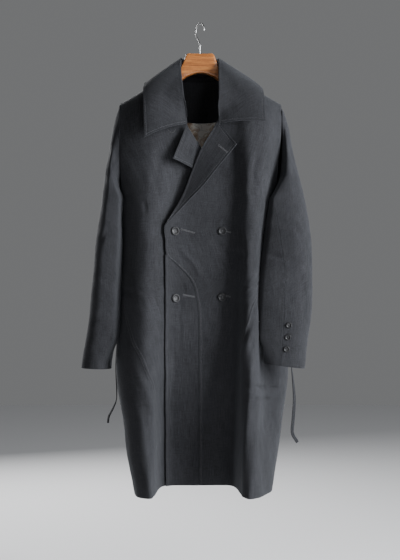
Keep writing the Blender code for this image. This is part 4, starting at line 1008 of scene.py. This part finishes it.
# %% [markdown]
# ## The hanger
#
# The bar is cut from a plank, shaped, and varnished orange-brown; its grain runs along the arms.
# The CAD bar is a row of twelve-sided rings, so its rings are read by their X and passed to the
# same smooth curves as the cloth. The hook is bright drawn wire, bent in one plane and swung round.

# %% Wood and wire
WOOD, wood_tree, wood_shader = new_material("varnished_wood", Roughness=0.30, Coat_Weight=0.35,
                                            Coat_Roughness=0.18)
wood_place = add_node(wood_tree, "ShaderNodeTexCoord").outputs["Object"]
drawn = add_node(wood_tree, "ShaderNodeMapping", [("Vector", wood_place)], [("Scale", (9, 130, 130))])
grain = add_node(wood_tree, "ShaderNodeTexNoise", [("Vector", drawn.outputs[0])],
                 [("Scale", 1.0), ("Detail", 6.0), ("Roughness", 0.62), ("Distortion", 0.5)])
pores = add_node(wood_tree, "ShaderNodeMapping", [("Vector", wood_place)],
                 [("Scale", (60, 1500, 1500))])
pore = add_node(wood_tree, "ShaderNodeTexNoise", [("Vector", pores.outputs[0])], [("Scale", 1.0)])
wood_colour = ramp(wood_tree, grain.outputs["Fac"], (0.32, (0.15, 0.046, 0.012)),
                   (0.50, (0.31, 0.110, 0.028)), (0.68, (0.45, 0.19, 0.058)))
wood_dark = ramp(wood_tree, pore.outputs["Fac"], (0.30, 0.45), (0.42, 1.0))
wood_tree.links.new(mix(wood_tree, 1.0, wood_colour, wood_dark, "MULTIPLY"),
                    wood_shader.inputs["Base Color"])
wood_bump = add_node(wood_tree, "ShaderNodeBump", [("Height", pore.outputs["Fac"])],
                     [("Strength", 0.08), ("Distance", 0.0002)])
wood_tree.links.new(wood_bump.outputs[0], wood_shader.inputs["Normal"])

cad_points = np.array([tuple(vert.co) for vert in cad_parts["hanger_wood"].data.vertices])
cad_points = np.unique(cad_points.round(5), axis=0)
stations = sorted({round(float(x), 4) for x in cad_points[:, 0]})
rings = []
for x in stations:
    ring = cad_points[np.abs(cad_points[:, 0] - x) < 0.0002]
    middle = (ring.min(axis=0) + ring.max(axis=0)) / 2
    turn = np.arctan2((ring[:, 2] - middle[2]) / np.ptp(ring[:, 2]),
                      (ring[:, 1] - middle[1]) / np.ptp(ring[:, 1]))
    ring = ring[np.argsort(turn)]
    if len(ring) == 12:
        rings.append(ring)
print("wood:", len(rings), "rings of", len(stations), "stations")
bar = finer(np.array(rings), 6)
bar = finer(bar.swapaxes(0, 1), 4, closed=True)
bm = bmesh.new()
loops = [[bm.verts.new(spot) for spot in ring] for ring in bar.swapaxes(0, 1)]
for one, two in zip(loops, loops[1:]):
    for k in range(len(one)):
        bm.faces.new((one[k - 1], one[k], two[k], two[k - 1]))
bm.faces.new(loops[0])
bm.faces.new(loops[-1][::-1])
bmesh.ops.recalc_face_normals(bm, faces=bm.faces[:])
bar_mesh = bpy.data.meshes.new("hanger_wood")
bm.to_mesh(bar_mesh)
bm.free()
bar_mesh.shade_smooth()
bar_mesh.set_sharp_from_angle(angle=math.radians(45))
bar_piece = show("wood_hanger", bar_mesh, WOOD)
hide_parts("hanger_wood")

STEEL, steel_tree, steel_shader = new_material("steel_wire", Metallic=1.0)
steel_place = add_node(steel_tree, "ShaderNodeTexCoord").outputs["Object"]
worn = add_node(steel_tree, "ShaderNodeTexNoise", [("Vector", steel_place)],
                [("Scale", 300.0), ("Detail", 4.0)])
steel_tree.links.new(ramp(steel_tree, worn.outputs["Fac"], (0.3, 0.30), (0.7, 0.46)),
                     steel_shader.inputs["Base Color"])
steel_tree.links.new(ramp(steel_tree, worn.outputs["Fac"], (0.3, 0.22), (0.7, 0.42)),
                     steel_shader.inputs["Roughness"])

WIRE_R, BEND_R, SWING, WOOD_TOP = 0.00175, 0.0190, math.radians(55), -0.0776
STEM = ((0.0, -0.0660), (0.0, -0.0560), (-0.0030, -0.0480), (-0.0085, -0.0400), (-0.0140, -0.0320))
bend = [math.radians(a) for a in np.linspace(205, -12, 25)]
wire = [(0.0, WOOD_TOP), *STEM]
wire += [(BEND_R * math.cos(a), WIRE_R - BEND_R + BEND_R * math.sin(a)) for a in bend]
wire = np.array([(a * math.cos(SWING), -a * math.sin(SWING), z) for a, z in wire])
wire = finer(wire, 3)
ahead = unit(np.gradient(wire, axis=0))
across = np.array([math.sin(SWING), math.cos(SWING), 0.0])
bm = bmesh.new()
loops = []
ends = np.ones(len(wire))
ends[[0, -1]] = 0.72
for spot, run, thick in zip(wire, ahead, ends):
    up = np.cross(across, run)
    loops.append([bm.verts.new(spot + (across * math.cos(a) + up * math.sin(a)) * WIRE_R * thick)
                  for a in np.arange(16) * math.tau / 16])
for one, two in zip(loops, loops[1:]):
    for k in range(16):
        bm.faces.new((one[k - 1], one[k], two[k], two[k - 1]))
bm.faces.new(loops[0])
bm.faces.new(loops[-1][::-1])
bmesh.ops.recalc_face_normals(bm, faces=bm.faces[:])
hook_mesh = bpy.data.meshes.new("hanger_hook")
bm.to_mesh(hook_mesh)
bm.free()
hook_mesh.shade_smooth()
hook_mesh.set_sharp_from_angle(angle=math.radians(50))
hook_piece = show("steel_hook", hook_mesh, STEEL)
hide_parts("hanger_hook")

# %% [markdown]
# ## Floor, world and light
#
# A dark coat needs a broad light to show its folds. One large soft light stands to the right and
# in front, like a window, a little cool; a weak one fills from the left, and a third from behind
# lifts the rear views. The floor is plain and pale and lies below the hem.


# %% Stage and lights
def area_light(name, at, aim, size, power, colour):
    lamp = bpy.data.lights.new(name, "AREA")
    lamp.shape, lamp.size, lamp.size_y = "RECTANGLE", *size
    lamp.energy, lamp.color = power, colour
    holder = bpy.data.objects.new(name, lamp)
    holder.location = at
    holder.rotation_euler = (Vector(aim) - Vector(at)).to_track_quat("-Z", "Y").to_euler()
    bpy.context.scene.collection.objects.link(holder)


bm = bmesh.new()
bmesh.ops.create_grid(bm, x_segments=1, y_segments=1, size=6)
bmesh.ops.translate(bm, verts=bm.verts[:], vec=(0, 0, -1.62))
floor_mesh = bpy.data.meshes.new("floor")
bm.to_mesh(floor_mesh)
bm.free()
PALE, pale_tree, pale_shader = new_material("pale_floor", Roughness=0.8, Specular_IOR_Level=0.2)
pale_shader.inputs["Base Color"].default_value = (0.74, 0.74, 0.75, 1)
floor_mesh.materials.append(PALE)
floor = bpy.data.objects.new("floor", floor_mesh)
bpy.context.scene.collection.objects.link(floor)

world = bpy.data.worlds.new("studio")
world.use_nodes = True
world.node_tree.nodes["Background"].inputs["Color"].default_value = (0.62, 0.63, 0.64, 1)
world.node_tree.nodes["Background"].inputs["Strength"].default_value = 0.27
bpy.context.scene.world = world
area_light("window", (2.25, -1.45, -0.05), (0.0, 0.0, -0.65), (1.0, 2.0), 240, (0.94, 0.97, 1.0))
area_light("front", (0.95, -2.7, 0.15), (0.0, 0.0, -0.3), (0.5, 0.9), 16, (0.96, 0.98, 1.0))
area_light("fill", (-1.9, -2.6, 0.3), (0.0, 0.0, -0.7), (1.6, 1.6), 4, (1.0, 0.97, 0.93))
area_light("rear", (-1.2, 2.6, 0.4), (0.0, 0.0, -0.6), (1.8, 1.8), 110, (1.0, 1.0, 1.0))
